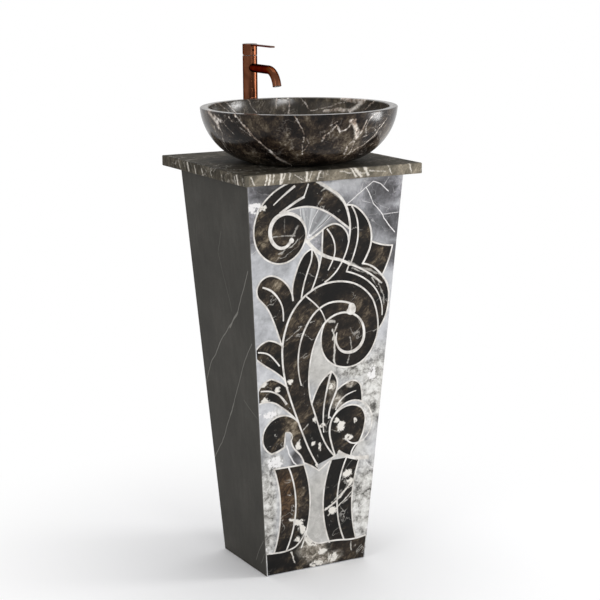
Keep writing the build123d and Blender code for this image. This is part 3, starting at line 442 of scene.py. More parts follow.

# %% [markdown]
# ## The slab's marble
#
# The slab is cut from the same kind of stone, but it is honed, not polished: darker grey, satin, with the
# pale veins standing nearly upright where its edges are cut through them. The pattern is stretched
# upwards, so short pale strokes show on the edges and thin ones on the top. Painted shade darkens the top
# and the left edge, and painted light makes the front edge paler and greyer.

# %% Slab marble
slab = Finish("slab_marble", Specular_IOR_Level=0.06)
tall = slab.turned((0, 14, 0), (1.0, 1.0, 4.5))
clouds = slab.noise(slab.wandered(slab.place, 12.0, 0.06), 17.0, 6, 0.62)
mottle = slab.noise(slab.wandered(slab.turned((0, 30, 0), (1.0, 1.0, 2.5)), 40.0, 0.02), 85.0, 7, 0.74)
grain = slab.noise(slab.place, 300.0, 4, 0.75)
mixed = clouds * 0.35 + mottle * 0.45 + grain * 0.2
body = slab.ramp(mixed, (0.40, "#37322b"), (0.47, "#5b5448"), (0.53, "#7f7667"), (0.60, "#b0a592"),
                 (0.68, "#d6cbb9"))
# Painted shade: the faces that look up are darkened towards a near-black tint.
facing_up = slab.split(slab.node("NewGeometry", out="Normal"))[2]
body = slab.mix(body, tint("#1c1c17"), slab.fade(facing_up, 0.95, 0.6) * 0.74)
gather = slab.fade(slab.noise(slab.place, 8.0, 1), 0.60, 0.50)
strokes = slab.threads(slab.wandered(tall, 30.0, 0.03, 3), 17.0, 0.010, 4) * gather
threads = slab.threads(slab.wandered(slab.place, 12.0, 0.1, 4), 9.0, 0.004, 5) * 0.6
across, deep, height = slab.split(slab.wandered(slab.place, 130.0, 0.004, 3))
front_edge, left_edge, edge_depth = -0.176, -0.181, 0.004
on_front = slab.fade(deep, front_edge, front_edge + edge_depth)
on_left = slab.fade(across, left_edge, left_edge + edge_depth)
# Painted shade darkens the left edge, and painted light lightens the front edge to a paler grey.
body = slab.mix(body, tint("#1c1c17"), on_left * 0.6)
body = slab.mix(body, tint("#7d796d"), on_front * 0.3)
rag = (slab.noise(slab.place, 240.0, 5, 0.8) - 0.5) * 0.009
print("slab marble so far:", len(slab.tree.nodes), "nodes")

# %% [markdown]
# The strokes on the two edges that the photograph shows are drawn in their places, on the flat of each edge.
# The hidden edges keep the strokes that noise makes.

# %% Strokes of the slab
front_strokes = [
    ([(-141, 797), (-146, 774)], 0.0020, 1), ([(-135, 797), (-139, 777)], 0.0024, 1),
    ([(-128, 795), (-131, 776)], 0.0014, 0.9), ([(-112, 797), (-115, 776)], 0.0034, 1),
    ([(-104, 797), (-112, 778)], 0.0016, 0.8), ([(-60, 797), (-62, 779)], 0.0036, 1),
    ([(-50, 796), (-57, 778)], 0.0014, 0.7), ([(-32, 797), (-40, 780)], 0.0020, 0.9),
    ([(30, 797), (42, 779)], 0.0024, 0.9), ([(38, 796), (52, 779)], 0.0044, 0.9),
    ([(61, 794), (67, 780)], 0.0044, 0.9), ([(110, 797), (118, 779)], 0.0014, 0.7),
    ([(157, 794), (161, 779)], 0.0020, 0.8), ([(-95, 797), (-97, 784)], 0.0024, 0.8),
    ([(8, 791), (34, 786), (62, 784)], 0.0014, 0.6), ([(70, 788), (104, 784)], 0.0012, 0.6),
    ([(-175, 792), (-168, 778)], 0.0014, 0.7), ([(-86, 790), (-70, 782)], 0.0011, 0.6),
]
left_strokes = [
    ([(71, 793), (64, 780)], 0.0036, 0.9), ([(38, 790), (32, 776)], 0.0024, 0.9),
    ([(6, 787), (0, 777)], 0.0020, 0.8), ([(-143, 791), (-149, 774)], 0.0038, 1),
    ([(-133, 790), (-138, 776)], 0.0014, 0.8), ([(-80, 786), (-83, 775)], 0.0016, 0.7),
    ([(-32, 788), (-39, 776)], 0.0018, 0.7), ([(110, 792), (104, 780)], 0.0014, 0.6),
]
strokes_front = slab.drawn_all(slab.joined(across, 0.0, height), front_strokes, rag) * on_front
strokes_left = slab.drawn_all(slab.joined(deep, 0.0, height), left_strokes, rag) * on_left
elsewhere = (strokes * (1 - on_front) * (1 - on_left)).or_more(threads)
pale = strokes_front.or_more(strokes_left).or_more(elsewhere * 0.7)
slab.feed(Base_Color=slab.mix(body, tint("#e3ddd2"), (pale * 0.9).held()))
slab.feed(Roughness=0.6 + 0.12 * clouds)
slab.bumped(grain * 0.5 + clouds, 0.0002)
slab.cover("countertop_slab")
print("slab marble:", len(slab.tree.nodes), "nodes")

# %% [markdown]
# ## The side panels
#
# The sides are a charcoal limestone with a dull rubbed face. It is almost plain, with a fine felt-like
# grain, so the few pale veins that cross it are what the eye finds. Those on the left side are drawn
# where the real ones run, as straight runs that noise makes wander a little. The other sides have a wide
# net of cracks. The panels lean, so a face is found by its distance from the plane it lies in, and along the
# front edges a pale line is a painted highlight.

# %% Side stone
side = Finish("side_stone", Specular_IOR_Level=0.2)
soft = side.noise(side.wandered(side.place, 6.0, 0.08), 9.0, 4, 0.55)
felt = side.noise(side.place, 420.0, 3, 0.7)
rub = side.noise(side.turned(sizes=(1.0, 1.0, 4.0)), 90.0, 3, 0.6)
body = side.ramp(soft * 0.5 + rub * 0.2 + felt * 0.3, (0.36, "#2e2c27"), (0.5, "#3a3833"), (0.64, "#474540"))
across, deep, height = side.split(side.wandered(side.place, 32.0, 0.006, 2))
on_side = side.joined(deep, 0.0, height)
side_veins = [
    ([(-119, 609), (-88, 565), (-56, 517), (-10, 480), (27, 448), (83, 392), (116, 345)], 0.0013, 0.8),
    ([(-60, 522), (-46, 512), (-20, 484)], 0.0024, 0.7),
    ([(-111, 470), (-69, 424), (3, 314), (63, 233), (110, 186)], 0.0011, 0.75),
    ([(-6, 328), (3, 314), (14, 300)], 0.0022, 0.6),
    ([(-16, 671), (6, 625), (-17, 565), (-35, 519)], 0.0009, 0.35),
    ([(-55, 348), (-84, 332), (-110, 322)], 0.0010, 0.4),
    ([(-50, 20), (-66, 44), (-90, 72)], 0.0010, 0.5),
    ([(-72, 22), (-90, 46)], 0.0010, 0.4),
]
pale = side.drawn_all(on_side, side_veins)
slanted = side.wandered(side.turned((38, 35, 0), (1.0, 1.0, 3.0)), 26.0, 0.006, 3)
hair = side.cracks(slanted, 3.6, 0.005) * side.fade(side.noise(side.place, 5.0, 1), 0.52, 0.44)
across, deep, height = side.split(side.place)
left_lean, left_foot = 0.07226, 0.109
front_lean, front_foot = 0.0671, 0.093
left_face = side.fade(across + left_lean * height + left_foot, 0.004, 0.012)
pale = (pale * left_face).or_more(hair * (1 - left_face) * 0.8)
# Painted highlight: a pale line along the front corner of each side panel, where the edge catches the light.
from_corner = deep + front_lean * height + front_foot
body = side.mix(body, tint("#6d6b64"), side.fade(from_corner + (felt - 0.5) * 0.006, 0.0008, 0.004) * 0.8)
side.feed(Base_Color=side.mix(body, tint("#8d8b84"), pale.held()))
side.feed(Roughness=0.62 + 0.1 * soft)
side.bumped(felt * 0.6 + rub * 0.4, 0.00025)
side.cover("left_panel", "right_panel", "back_panel", "base_plate")
side.cover(*[f"corner_block_{number}" for number in range(1, 5)])
print("side stone:", len(side.tree.nodes), "nodes")

# %% [markdown]
# ## The front panel's ground
#
# The ground of the front is a cloudy grey marble: nearly lilac and even in the middle, smoky and darkened
# by painted shadow under the slab, and mottled white at the foot. Noise alone would spread the same weather
# over the whole panel, so soft patches say where it is dark and where it is pale. The white lightning-like
# veins at the top right are drawn.

# %% Ground marble
ground = Finish("ground_marble", Specular_IOR_Level=0.3)
flat = ground.arrows("MULTIPLY", ground.place, (1, 0, 1))
wander = ground.wandered(flat, 22.0, 0.03, 3)
smoke = ground.noise(ground.wandered(flat, 8.0, 0.1, 3), 11.0, 6, 0.62)
fine = ground.noise(ground.wandered(flat, 40.0, 0.02, 4), 52.0, 8, 0.74)
even = ground.ramp(smoke * 0.6 + fine * 0.4, (0.38, "#909193"), (0.5, "#b4b5b8"), (0.60, "#cbccce"))
dull = ground.ramp(smoke * 0.6 + fine * 0.4, (0.40, "#4b4b4d"), (0.5, "#747477"), (0.60, "#a6a6a9"))
# The smoky colour of the stone, which also serves as painted shadow under the slab.
smoke_and_shade = ground.ramp(smoke * 0.6 + fine * 0.4, (0.40, "#343333"), (0.50, "#5f5e61"), (0.60, "#a09fa4"))
mottled = ground.ramp(fine * 0.8 + smoke * 0.2, (0.40, "#4b4945"), (0.45, "#8b8984"), (0.50, "#b9b7b2"),
                      (0.58, "#dddcd8"))
warm = ground.ramp(fine * 0.6 + smoke * 0.4, (0.40, "#a09e9a"), (0.60, "#c6c4bf"))
print("ground marble so far:", len(ground.tree.nodes), "nodes")

# %% [markdown]
# Each patch is a soft spot with its own place and size. Several of them together make a zone, where one
# of the stone's weathers lies over its even grey: warm, dull, smoky or mottled. The smoky zones near the
# top also carry painted shadow from the slab, and the long thin one right under it is painted shadow only.

# %% Zones of the ground
def zone(finish, place, patches):
    """The soft patches of a zone, put together. Each is x, z, half width and half height in millimetres."""
    whole = None
    for x, z, half_width, half_height in patches:
        centre = (x / 1000, 0, z / 1000)
        spot = finish.patch(place, centre, (half_width / 1000, 1, half_height / 1000))
        whole = spot if whole is None else whole.or_more(spot)
    return whole


warm_zones = [(0, 120, 90, 140), (0, 420, 70, 80), (60, 250, 80, 60)]
colour = ground.mix(even, warm, zone(ground, wander, warm_zones))
dull_zones = [(-110, 700, 80, 80), (60, 690, 120, 90)]
colour = ground.mix(colour, dull, zone(ground, wander, dull_zones))
# Smoky stone and painted shadow: the zones near the top edge add painted shadow under the slab, and the long
# thin strip along that edge is painted shadow alone.
smoke_and_shadow_zones = [(-150, 690, 34, 56), (130, 745, 80, 45), (150, 680, 34, 50), (-125, 756, 80, 36),
              (-40, 778, 220, 16), (150, 615, 26, 40), (-12, 655, 22, 24), (-50, 238, 24, 26),
              (104, 258, 12, 14)]
colour = ground.mix(colour, smoke_and_shade, zone(ground, wander, smoke_and_shadow_zones))
mottle_zones = [(120, 350, 60, 120), (-115, 130, 40, 170), (105, 120, 60, 140), (75, 400, 60, 40),
                (-95, 300, 20, 60), (-97, 230, 24, 24)]
colour = ground.mix(colour, mottled, zone(ground, wander, mottle_zones))
print("patches of the ground:", len(warm_zones + dull_zones + smoke_and_shadow_zones + mottle_zones))

# %% [markdown]
# Between the scroll's head and its back, pale rays spread from one bright point. The angle about that point
# is the only thing that their noise reads, so it runs out in straight rays.

# %% Rays of the ground
star = (-0.039, 0, 0.664)
from_star = ground.split(ground.arrows("SUBTRACT", flat, star))
round_star = from_star[0].angle_to(from_star[2])
rays = ground.noise(ground.joined(round_star * 0.8, 0.0, 0.35), 2.6, 3, 0.5)
fan = ground.ramp(rays, (0.38, "#5c5c5d"), (0.50, "#868788"), (0.60, "#c8c9ca"))
colour = ground.mix(colour, fan, ground.patch(flat, (-0.030, 0, 0.700), (0.062, 1, 0.052)) * 0.85)
print("the rays start", [round(part * 1000) for part in star], "mm from the middle of the foot")

# %% [markdown]
# Last come the drawn veins, white spots with torn edges, and thin wisps that noise makes.

# %% Veins of the ground
ground_veins = [
    ([(44, 722), (82, 750), (100, 762), (115, 757), (122, 751), (133, 740)], 0.0014, 1),
    ([(84, 752), (92, 740), (101, 720), (120, 700), (126, 689), (140, 672), (150, 660)], 0.0014, 1),
    ([(123, 697), (157, 698)], 0.0011, 0.8), ([(72, 745), (80, 765)], 0.0008, 0.6),
    ([(122, 751), (134, 768)], 0.0008, 0.6), ([(101, 720), (78, 726)], 0.0008, 0.5),
    ([(-39, 664), (-52, 700), (-55, 722)], 0.0012, 0.8), ([(-39, 664), (-28, 700), (-14, 720)], 0.0012, 0.8),
    ([(-39, 664), (-12, 684), (12, 704)], 0.0012, 0.8),
    ([(60, 257), (70, 247), (87, 247), (98, 250)], 0.0022, 0.9),
    ([(-72, 262), (-66, 244), (-56, 226), (-46, 216)], 0.0022, 0.9),
    ([(97, 214), (110, 196), (122, 186)], 0.0014, 0.6),
    ([(-160, 640), (-140, 652), (-118, 640)], 0.0010, 0.4), ([(120, 372), (140, 350)], 0.0010, 0.6),
    ([(85, 104), (112, 122), (128, 118)], 0.0014, 0.6),
    ([(-128, 150), (-108, 186), (-100, 224)], 0.0010, 0.5),
]
thin_wander = ground.wandered(flat, 60.0, 0.003, 3)
rag = (ground.noise(flat, 300.0, 5, 0.8) - 0.5) * 0.003
pale = ground.drawn_all(thin_wander, ground_veins, rag)
white_spots = [(-145, 728, 30, 15), (-97, 230, 24, 20), (112, 385, 14, 26), (-39, 664, 15, 13),
               (126, 60, 20, 14), (-120, 60, 14, 20), (-116, 330, 30, 10), (96, 292, 9, 30)]
splash = ground.torn(zone(ground, flat, white_spots), fine)
wisps = ground.threads(ground.wandered(flat, 14.0, 0.06, 4), 9.0, 0.003, 4) * 0.3
slit = ground.drawn(thin_wander, [(-16, 683), (-4, 691), (6, 702)], 0.0014) * 0.7
colour = ground.mix(colour, tint("#e6e4e3"), pale.or_more(splash).or_more(wisps).held())
ground.feed(Base_Color=ground.mix(colour, tint("#4a4744"), slit), Roughness=0.3 + 0.12 * smoke)
ground.bumped(fine * 0.3 + smoke * 0.4, 0.0002)
ground.cover("front_panel")
print("ground marble:", len(ground.tree.nodes), "nodes")

# %% [markdown]
# ## The dark inlay
#
# The leaves and scrolls are cut from the offcuts of the bowl's stone, so each one shows another piece
# of the same marble: almost black at the top, browner down the stem and in the legs, with cream
# flecks and a few white splashes. The colour shifts with height, as the maker's choice of offcuts does.

# %% Inlay marble
inlay = Finish("inlay_marble", Specular_IOR_Level=0.2)
flat = inlay.arrows("MULTIPLY", inlay.place, (1, 0, 1))
streaky = inlay.turned((0, 52, 0), (1.0, 1.0, 1.7), place=flat)
clouds = inlay.noise(inlay.wandered(streaky, 16.0, 0.09, 4), 20.0, 8, 0.7)
mottle = inlay.noise(inlay.wandered(streaky, 50.0, 0.03, 4), 95.0, 7, 0.78)
mixed = clouds * 0.6 + mottle * 0.4
black = inlay.ramp(mixed, (0.45, "#080706"), (0.52, "#15110e"), (0.57, "#322a21"), (0.62, "#645948"),
                   (0.70, "#a39781"))
brown = inlay.ramp(mixed, (0.42, "#0c0907"), (0.48, "#1c1611"), (0.53, "#352c23"), (0.58, "#5d5243"),
                   (0.65, "#9b8f7c"))
brown_zones = [(60, 480, 100, 100), (-40, 420, 60, 180), (-70, 140, 56, 80), (-110, 560, 60, 60),
               (-80, 650, 60, 60), (10, 740, 60, 30), (-50, 300, 40, 50), (60, 25, 90, 40),
               (130, 640, 50, 60), (120, 570, 40, 40)]
body = inlay.mix(black, brown, zone(inlay, inlay.wandered(flat, 12.0, 0.06, 3), brown_zones))
torn = inlay.noise(inlay.wandered(flat, 50.0, 0.03, 4), 78.0, 8, 0.76)
grey = inlay.ramp(torn, (0.40, "#4c463d"), (0.48, "#7b7469"), (0.54, "#a9a297"), (0.62, "#d8d3ca"))
grey_zones = [(-8, 40, 44, 44), (24, 16, 48, 20), (35, 338, 22, 26), (24, 368, 10, 16), (66, 372, 22, 10)]
body = inlay.mix(body, grey, zone(inlay, inlay.wandered(flat, 30.0, 0.03, 3), grey_zones))
leg_brown = inlay.ramp(mottle, (0.40, "#1e150d"), (0.5, "#44311f"), (0.60, "#6a5138"))
body = inlay.mix(body, leg_brown, zone(inlay, flat, [(-74, 160, 44, 66)]) * 0.8)
streaks = inlay.threads(inlay.wandered(streaky, 18.0, 0.05, 3), 16.0, 0.006, 5)
streaks = streaks * inlay.fade(inlay.noise(flat, 12.0, 1), 0.58, 0.50)
flecks = inlay.fade(torn, 0.66, 0.62) * inlay.fade(inlay.noise(flat, 14.0, 1), 0.58, 0.5)
print("inlay marble so far:", len(inlay.tree.nodes), "nodes")

# %% [markdown]
# The white splashes and the longest veins of the inlay are put where the photograph shows them: soft spots
# with a torn edge for the splashes, and drawn runs with a frayed edge for the veins.

# %% Splashes of the inlay
white_spots = [
    (-42, 100, 20, 10), (-34, 84, 12, 16), (-44, 66, 9, 10), (64, 186, 13, 13), (70, 168, 12, 12),
    (33, 114, 14, 13), (-20, 62, 10, 16), (-4, 52, 22, 9), (36, 15, 20, 12), (-2, 8, 24, 9), (12, 30, 16, 10),
    (46, 284, 14, 16), (36, 298, 8, 9), (62, 260, 18, 9), (77, 293, 7, 10), (97, 250, 10, 10),
    (-126, 391, 16, 7), (-120, 356, 14, 12), (-94, 377, 9, 9), (-46, 258, 10, 14), (-62, 238, 12, 7),
    (5, 293, 9, 7), (-68, 388, 10, 8), (0, 250, 5, 14), (-14, 258, 8, 6), (-4, 213, 7, 9), (-12, 306, 7, 10),
    (20, 370, 7, 12), (-135, 728, 18, 9),
]
splashes = inlay.torn(zone(inlay, flat, white_spots), torn)
print("splashes of the inlay:", len(white_spots))

# %% [markdown]
# Each vein has its points, its width in metres and how strong it is. The noise that tears the splashes
# frays the veins too, so the two look like one stone.

# %% Veins of the inlay
inlay_veins = [
    ([(-112, 672), (-82, 674), (-66, 672)], 0.0016, 0.4), ([(-86, 676), (-88, 704)], 0.0012, 0.15),
    ([(-92, 640), (-72, 668), (-58, 690)], 0.0022, 0.35), ([(-98, 640), (-70, 652), (-58, 664)], 0.0014, 0.5),
    ([(-20, 748), (10, 762)], 0.0013, 0.6), ([(-30, 706), (-4, 744)], 0.0012, 0.4),
    ([(-12, 763), (20, 742), (45, 722)], 0.0030, 0.35),
    ([(49, 612), (77, 598), (99, 590), (122, 580), (139, 566)], 0.0030, 0.4),
    ([(60, 598), (99, 583), (122, 564)], 0.0024, 0.5),
    ([(120, 560), (130, 540), (133, 520)], 0.0018, 0.4), ([(104, 574), (116, 556)], 0.0014, 0.5),
    ([(21, 481), (27, 460), (26, 421), (30, 404)], 0.0026, 0.8),
    ([(32, 492), (24, 476), (22, 462)], 0.0020, 0.7),
    ([(-1, 493), (10, 500), (24, 496)], 0.0034, 0.6), ([(56, 412), (64, 440), (60, 462)], 0.0016, 0.4),
    ([(-52, 495), (-20, 502)], 0.0012, 0.5), ([(-80, 470), (-40, 500)], 0.0012, 0.4),
    ([(-20, 420), (-10, 450)], 0.0012, 0.4),
    ([(-48, 18), (-58, 44)], 0.0014, 0.8), ([(78, 20), (76, 44)], 0.0014, 0.6),
    ([(-61, 109), (-47, 106), (-38, 96), (-34, 80)], 0.0036, 1), ([(-68, 162), (-58, 160)], 0.0012, 0.6),
    ([(16, 117), (43, 133), (81, 174)], 0.0026, 0.9), ([(23, 104), (50, 124), (80, 150)], 0.0018, 0.8),
    ([(30, 130), (60, 152), (82, 162)], 0.0014, 0.7), ([(56, 124), (74, 138)], 0.0014, 0.6),
    ([(-58, 236), (-50, 252), (-44, 270)], 0.0016, 0.8), ([(-36, 289), (-26, 300)], 0.0012, 0.5),
]
rag = (torn - 0.5) * 0.010
drawn = inlay.drawn_all(inlay.wandered(flat, 50.0, 0.006, 3), inlay_veins, rag)
pale = (streaks * 0.4).or_more(flecks * 0.5).or_more(splashes).or_more(drawn)
inlay.feed(Base_Color=inlay.mix(body, tint("#dedad2"), pale.held()))
inlay.feed(Roughness=0.26 + 0.14 * clouds)
inlay.bumped(mottle * 0.3 + clouds * 0.4, 0.0002)
dark_parts = [name for name in nodes if name.startswith("inlay_")]
inlay.cover(*dark_parts)
print("inlay marble:", len(inlay.tree.nodes), "nodes on", len(dark_parts), "parts")

# %% [markdown]
# ## The white lines
#
# Between the stones run fine lines of white marble, set with a white resin. They are slightly warm and
# a little uneven, greyer where polishing left dust in the pores, and dark at the two ends of the foot.

# %% White lines
lines = Finish("white_marble", Specular_IOR_Level=0.45)
mottle = lines.noise(lines.place, 70.0, 4, 0.6)
pores = lines.noise(lines.place, 600.0, 2, 0.6)
colour = lines.ramp(mottle, (0.34, "#b9b4ad"), (0.5, "#d8d4ce"), (0.66, "#e8e5e0"))
colour = lines.mix(colour, tint("#9a958d"), lines.fade(pores, 0.74, 0.62) * 0.5)
across, deep, height = lines.split(lines.place)
foot_end, foot_line_top = 0.100, 0.044
dark_ends = lines.fade(abs(across), foot_end + 0.005, foot_end) * lines.fade(height, foot_line_top, 0.047)
lines.feed(Base_Color=lines.mix(colour, tint("#3a332b"), dark_ends))
lines.feed(Roughness=0.32 + 0.15 * mottle)
lines.bumped(pores, 0.00015)
lines.cover("joint_lines")
print("white lines:", len(lines.tree.nodes), "nodes")

# %% [markdown]
# ## Brushed copper bronze
#
# The tap is turned brass with a brushed copper bronze plating. Brushing goes round the body, so the marks
# are rings: noise squeezed along Z and stretched across it. They darken the colour a little and change
# the roughness. The plating darkens towards grazing angles, which the shader's own tint does.

# %% Bronze
bronze = Finish("bronze", Metallic=1.0, Specular_Tint=(0.2, 0.12, 0.08, 1))
brushing = bronze.noise(bronze.turned(sizes=(0.08, 0.08, 0.0011)), 1.0, 3, 0.6)
tarnish = bronze.noise(bronze.wandered(bronze.place, 30.0, 0.03), 38.0, 4, 0.6)
colour = bronze.ramp(tarnish, (0.3, "#523122"), (0.5, "#603a28"), (0.7, "#6f4733"))
bronze.feed(Base_Color=bronze.mix(colour, tint("#341b10"), bronze.fade(brushing, 0.7, 0.4) * 0.25))
bronze.feed(Roughness=0.2 + 0.04 * brushing)
bronze.bumped(brushing, 0.000003)
bronze.cover("tap_body", "tap_spout", "handle_cap", "handle_lever", "waste_body", "waste_plug")
print("bronze:", len(bronze.tree.nodes), "nodes")

# %% [markdown]
# ## Steel
#
# The fittings that the pedestal hides have the plain finishes of such goods. Stud, nuts and clamp are
# zinc-plated steel, with fine marks in rings, as a lathe leaves them, under a dull bloom.

# %% Steel
steel = Finish("steel", Metallic=1.0)
turning = steel.noise(steel.turned(sizes=(0.025, 0.025, 0.0007)), 1.0, 3, 0.6)
bloom = steel.noise(steel.place, 90.0, 3)
steel.feed(Base_Color=steel.ramp(bloom, (0.3, "#9a9b9c"), (0.7, "#b9bab8")))
steel.feed(Roughness=0.28 + 0.2 * turning)
steel.bumped(turning, 0.00005)
steel.cover("waste_backnut", "cartridge_nut", "grub_screw", "tap_stud", "clamp_plate", "stud_nut")
steel.cover("pivot_pin", "spindle")
print("steel:", len(steel.tree.nodes), "nodes")

# %% [markdown]
# ## White plastic
#
# The trap and the tap's inner housings are moulded from white polypropylene. It is a soft white, never quite
# even, with the faint grain that the mould leaves in the gloss.

# %% Plastic
plastic = Finish("white_plastic", Specular_IOR_Level=0.45)
mould = plastic.noise(plastic.place, 300.0, 3, 0.6)
hue = plastic.noise(plastic.place, 25.0, 2)
plastic.feed(Base_Color=plastic.ramp(hue, (0.3, "#d9d8d2"), (0.7, "#e9e8e3")))
plastic.feed(Roughness=0.36 + 0.12 * mould)
plastic.bumped(mould, 0.0001)
plastic.cover("trap_inlet_nut", "trap_tailpipe", "trap_head", "trap_cup", "trap_outlet_nut")
plastic.cover("outlet_pipe", "latch_cartridge", "aerator", "cartridge_housing", "cartridge_bush")
print("white plastic:", len(plastic.tree.nodes), "nodes")

# %% [markdown]
# ## Rubber
#
# The seals are black rubber: dull, and slightly blotched where talc is left on them.

# %% Rubber
rubber = Finish("rubber_seals", Specular_IOR_Level=0.3)
bloom = rubber.noise(rubber.place, 200.0, 3, 0.6)
rubber.feed(Base_Color=rubber.ramp(bloom, (0.3, "#1c1c1c"), (0.7, "#2b2b2a")))
rubber.feed(Roughness=0.6 + 0.2 * bloom)
rubber.bumped(bloom, 0.0001)
rubber.cover("waste_flange_seal", "plug_seal", "waste_washer", "tap_base_seal")
print("rubber:", len(rubber.tree.nodes), "nodes")

# %% [markdown]
# ## The outlet pipe
#
# A straight plastic pipe leaves the trap and passes through the opening at the back, where the house's drain
# is pushed over it. Its end is open, with a small bevel. A pipe is drawn most simply as one ring of points
# that is extruded along the pipe and resized at each step, out along the outside and back through the bore.
# Each pair below is how far along the pipe a ring lies and how large it is.

# %% Outlet pipe
pipe_level = 0.6685
pipe_rings = [
    (-0.0030, 0.0150), (-0.0026, 0.0156), (0.0270, 0.0156), (0.0270, 0.0160), (0.1554, 0.0160),
    (0.1560, 0.0156), (0.1560, 0.0149), (0.1556, 0.0145), (-0.0026, 0.0145), (-0.0030, 0.0150),
]
bpy.ops.object.select_all(action="DESELECT")
start_along, start_radius = pipe_rings[0]
bpy.ops.mesh.primitive_circle_add(vertices=64, radius=start_radius, fill_type="NOTHING",
                                  location=(0, start_along, pipe_level), rotation=(math.pi / 2, 0, 0))
pipe = bpy.context.object
pipe.name = "open_outlet_pipe"
bpy.ops.object.transform_apply()
bpy.ops.object.mode_set(mode="EDIT")
bpy.ops.mesh.select_all(action="SELECT")
for (along, radius), (next_along, next_radius) in zip(pipe_rings, pipe_rings[1:]):
    bpy.ops.mesh.extrude_region_move(TRANSFORM_OT_translate={"value": (0, next_along - along, 0)})
    grow = next_radius / radius
    bpy.ops.transform.resize(value=(grow, 1, grow), center_override=(0, next_along, pipe_level))
bpy.ops.mesh.select_all(action="SELECT")
bpy.ops.mesh.remove_doubles(threshold=0.00001)
bpy.ops.mesh.normals_make_consistent(inside=False)
bpy.ops.object.mode_set(mode="OBJECT")
bpy.ops.object.shade_smooth_by_angle(angle=math.radians(30))
pipe.data.materials.append(plastic.material)
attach(pipe, "pedestal")
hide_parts("outlet_pipe")
pipe_reach = [round(reach, 4) for reach in pipe.dimensions]
print("outlet pipe:", len(pipe.data.polygons), "faces, measures", pipe_reach)

# %% [markdown]
# ## The veins of the leaves
#
# Inside the larger leaves and across the scroll's bands run thin white lines. Each is laid in a shallow
# scratch, so a whole solid with a pocket would be too much for it. It is a smooth path on the panel's
# face, given a round section and pressed flat until it stands a tenth of a millimetre proud. Places and
# widths are in millimetres, from the middle of the panel's foot and up along its leaning face.

# %% Leaf veins
panel_height, foot_depth, panel_lean = 0.775, 0.093, 0.052
panel_foot = Vector((0, -foot_depth, 0))
panel_up = Vector((0, -panel_lean, panel_height)).normalized()
panel_out = Vector((0, -panel_height, -panel_lean)).normalized()
panel_frame = Matrix((Vector((1, 0, 0)), panel_up, panel_out)).transposed().to_4x4()
panel_frame.translation = panel_foot
leaf_veins = {
    "scroll_hatch_short": ([(-111, 734), (-90, 752), (-67, 767)], [2, 4, 5]),
    "scroll_hatch_end": ([(-48, 744.5), (-43.5, 756), (-39, 769)], [3, 3, 3]),
    "inner_leaf_vein": ([(2.5, 680.6), (12.5, 669), (20, 652.5), (22, 636), (17.5, 617.5), (7.5, 600)],
                        [3, 3, 3, 3, 3, 2.5]),
    "paisley_vein": ([(-130, 580.6), (-115, 575.6), (-102.5, 564), (-91, 548), (-85, 530), (-85, 511)],
                     [3, 4, 4, 3, 3, 2.5]),
    "left_leaf_vein": ([(-137, 456), (-123, 454.5), (-107, 445), (-91, 424)], [3, 3, 3, 3]),
    "low_leaf_vein": ([(-130, 379), (-114, 378.5), (-97, 371.5), (-84, 361), (-74, 346)],
                      [3, 3, 3, 4, 5]),
    "round_leaf_vein": ([(77, 354), (60, 350.6), (46, 342), (36, 330), (33, 320)], [2, 2.5, 3, 3, 3]),
    "band_corner_line": ([(52, 606), (47.5, 593.5)], [3, 3]),
    "stem_cross_line": ([(-38, 554), (-22, 541), (-9, 528), (-1, 517), (5, 502)],
                        [3, 3, 2.7, 2.5, 2.5]),
}
usual_width, line_thickness = 0.003, 0.0002


def press_on_panel(name, points, widths):
    """A smooth line of changing width, pressed onto the front face."""
    bpy.ops.object.select_all(action="DESELECT")
    bpy.ops.curve.primitive_nurbs_path_add()
    line = bpy.context.object
    line.name = name
    line.data.splines.clear()
    path = line.data.splines.new("NURBS")
    path.points.add(len(points) - 1)
    for point, (x, y), width in zip(path.points, points, widths):
        point.co = (x / 1000, y / 1000, 0, 1)
        point.radius = width / 2000
    path.order_u = min(3, len(points))
    path.use_endpoint_u = True
    path.resolution_u = 6
    line.data.dimensions = "3D"
    line.data.bevel_depth = 1.0
    line.data.bevel_resolution = 2
    line.data.use_fill_caps = True
    bpy.ops.object.convert(target="MESH")
    line.scale = (1, 1, line_thickness / usual_width)
    bpy.ops.object.transform_apply(scale=True)
    line.matrix_world = panel_frame
    bpy.ops.object.transform_apply()
    bpy.ops.object.shade_smooth()
    line.data.materials.clear()
    line.data.materials.append(lines.material)
    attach(line, "pedestal")
    return line


for name, (points, widths) in leaf_veins.items():
    vein = press_on_panel(name, points, widths)
    print(name, "with", len(vein.data.polygons), "faces")

# %% [markdown]
# ## The floor
#
# The photograph has a white background, and the light is soft. The floor is a wide white disc that
# takes the object's shadow near it and fades into plain white further out, so no horizon shows. Only the
# rays that show a background see that white, so the disc throws no extra light on the stone.

# %% Floor
bpy.ops.object.select_all(action="DESELECT")
bpy.ops.mesh.primitive_circle_add(vertices=96, radius=9, fill_type="NGON", location=(0, 0, -0.0005))
floor = bpy.context.object
floor.name = "floor"
floor_finish = Finish("floor_white", Roughness=0.9, Specular_IOR_Level=0.1)
floor_finish.shader.inputs["Base Color"].default_value = (0.94, 0.94, 0.94, 1)
away = floor_finish.arrows("LENGTH", floor_finish.place)
glow = floor_finish.node("Emission", None, {0: (1, 1, 1, 1), 1: 1.0})
share = floor_finish.fade(away, 0.85, 0.16) * floor_finish.seen_background()
blend = floor_finish.node("MixShader", None, {0: share, 1: floor_finish.surface, 2: glow})
floor_finish.tree.links.new(blend.socket, floor_finish.end.inputs["Surface"])
floor.data.materials.append(floor_finish.material)
print("floor:", round(floor.dimensions.x, 2), "m across")

# %% [markdown]
# ## The world
#
# A white world would light the object from all sides and wash its colours out. So the white is kept for the
# rays that the camera and the reflections see, and the rays that light the stone find a weak grey fill.

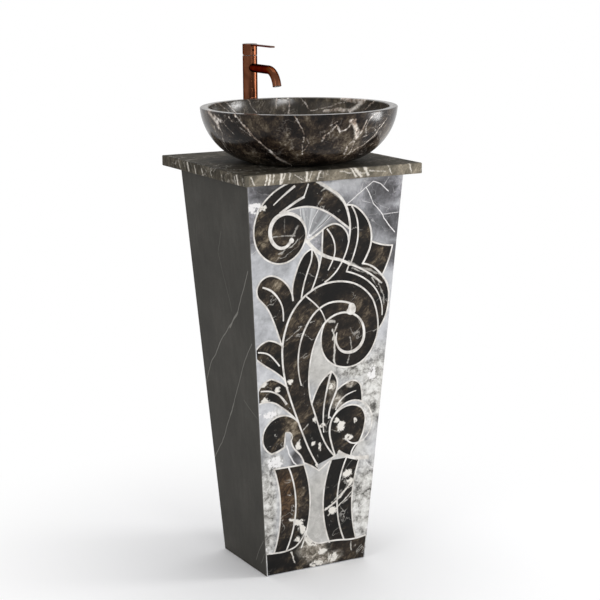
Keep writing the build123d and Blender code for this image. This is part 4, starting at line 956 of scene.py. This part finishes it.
# %% World
world = bpy.context.scene.world or bpy.data.worlds.new("studio")
bpy.context.scene.world = world
world.use_nodes = True
sky = Sums(world.node_tree)
white = sky.node("Background", None, {"Color": (1, 1, 1, 1)})
weak_fill = sky.node("Background", None, {"Color": (0.55, 0.55, 0.56, 1)})
background = sky.node("MixShader", None, {0: sky.seen_background(), 1: weak_fill, 2: white})
sky.node("OutputWorld", None, {"Surface": background})
print("world:", len(sky.tree.nodes), "nodes")

# %% [markdown]
# ## The lamps
#
# Five softboxes light the object: large rectangles, because a large lamp gives a soft shadow. Three small
# cards are there for the polish alone. They light nothing but the bowl, and only as highlights, so they give
# it its soft spots and change no colour.

# %% Softboxes
polished = bpy.data.collections.new("polished_stone")
polished.objects.link(nodes["vessel_bowl"])


def softbox(name, place, aim, width, height, power, card=False):
    """A soft lamp that faces a point. A card is one that only the polished bowl mirrors."""
    bpy.ops.object.light_add(type="AREA", location=place)
    lamp = bpy.context.object
    lamp.name = name
    lamp.data.shape = "RECTANGLE"
    lamp.data.size = width
    lamp.data.size_y = height
    lamp.data.energy = power
    lamp.visible_camera = False
    if card:
        lamp.visible_diffuse = False
        lamp.light_linking.receiver_collection = polished
    lamp.rotation_euler = (Vector(aim) - Vector(place)).to_track_quat("-Z", "Y").to_euler()


softbox("key_softbox", (1.9, -2.3, 2.1), (0, 0, 0.6), 1.4, 1.8, 6)
softbox("low_right_softbox", (2.36, -1.1, 0.95), (0, 0, 0.9), 0.75, 1.2, 38)
softbox("front_softbox", (-0.05, -2.7, 1.3), (0, 0, 0.88), 0.42, 0.36, 11)
softbox("left_softbox", (-2.3, -1.2, 1.9), (0, 0, 0.7), 0.9, 1.6, 8.5)
softbox("top_softbox", (0.2, 0.6, 2.8), (0, 0, 0.8), 1.6, 1.2, 20)
softbox("inner_left_card", (1.99, -1.05, 0.95), (0, 0.1, 0.9), 0.75, 0.4, 56, card=True)
softbox("inner_middle_card", (-0.34, -2.64, 1.0), (0, 0.1, 0.9), 0.95, 0.36, 80, card=True)
softbox("outer_right_card", (1.93, -0.70, 0.36), (0, -0.2, 0.9), 0.62, 0.32, 15, card=True)
bpy.context.scene.view_settings.view_transform = "Standard"

# %% [markdown]
# The finishing pieces must not make the object larger than the CAD model.
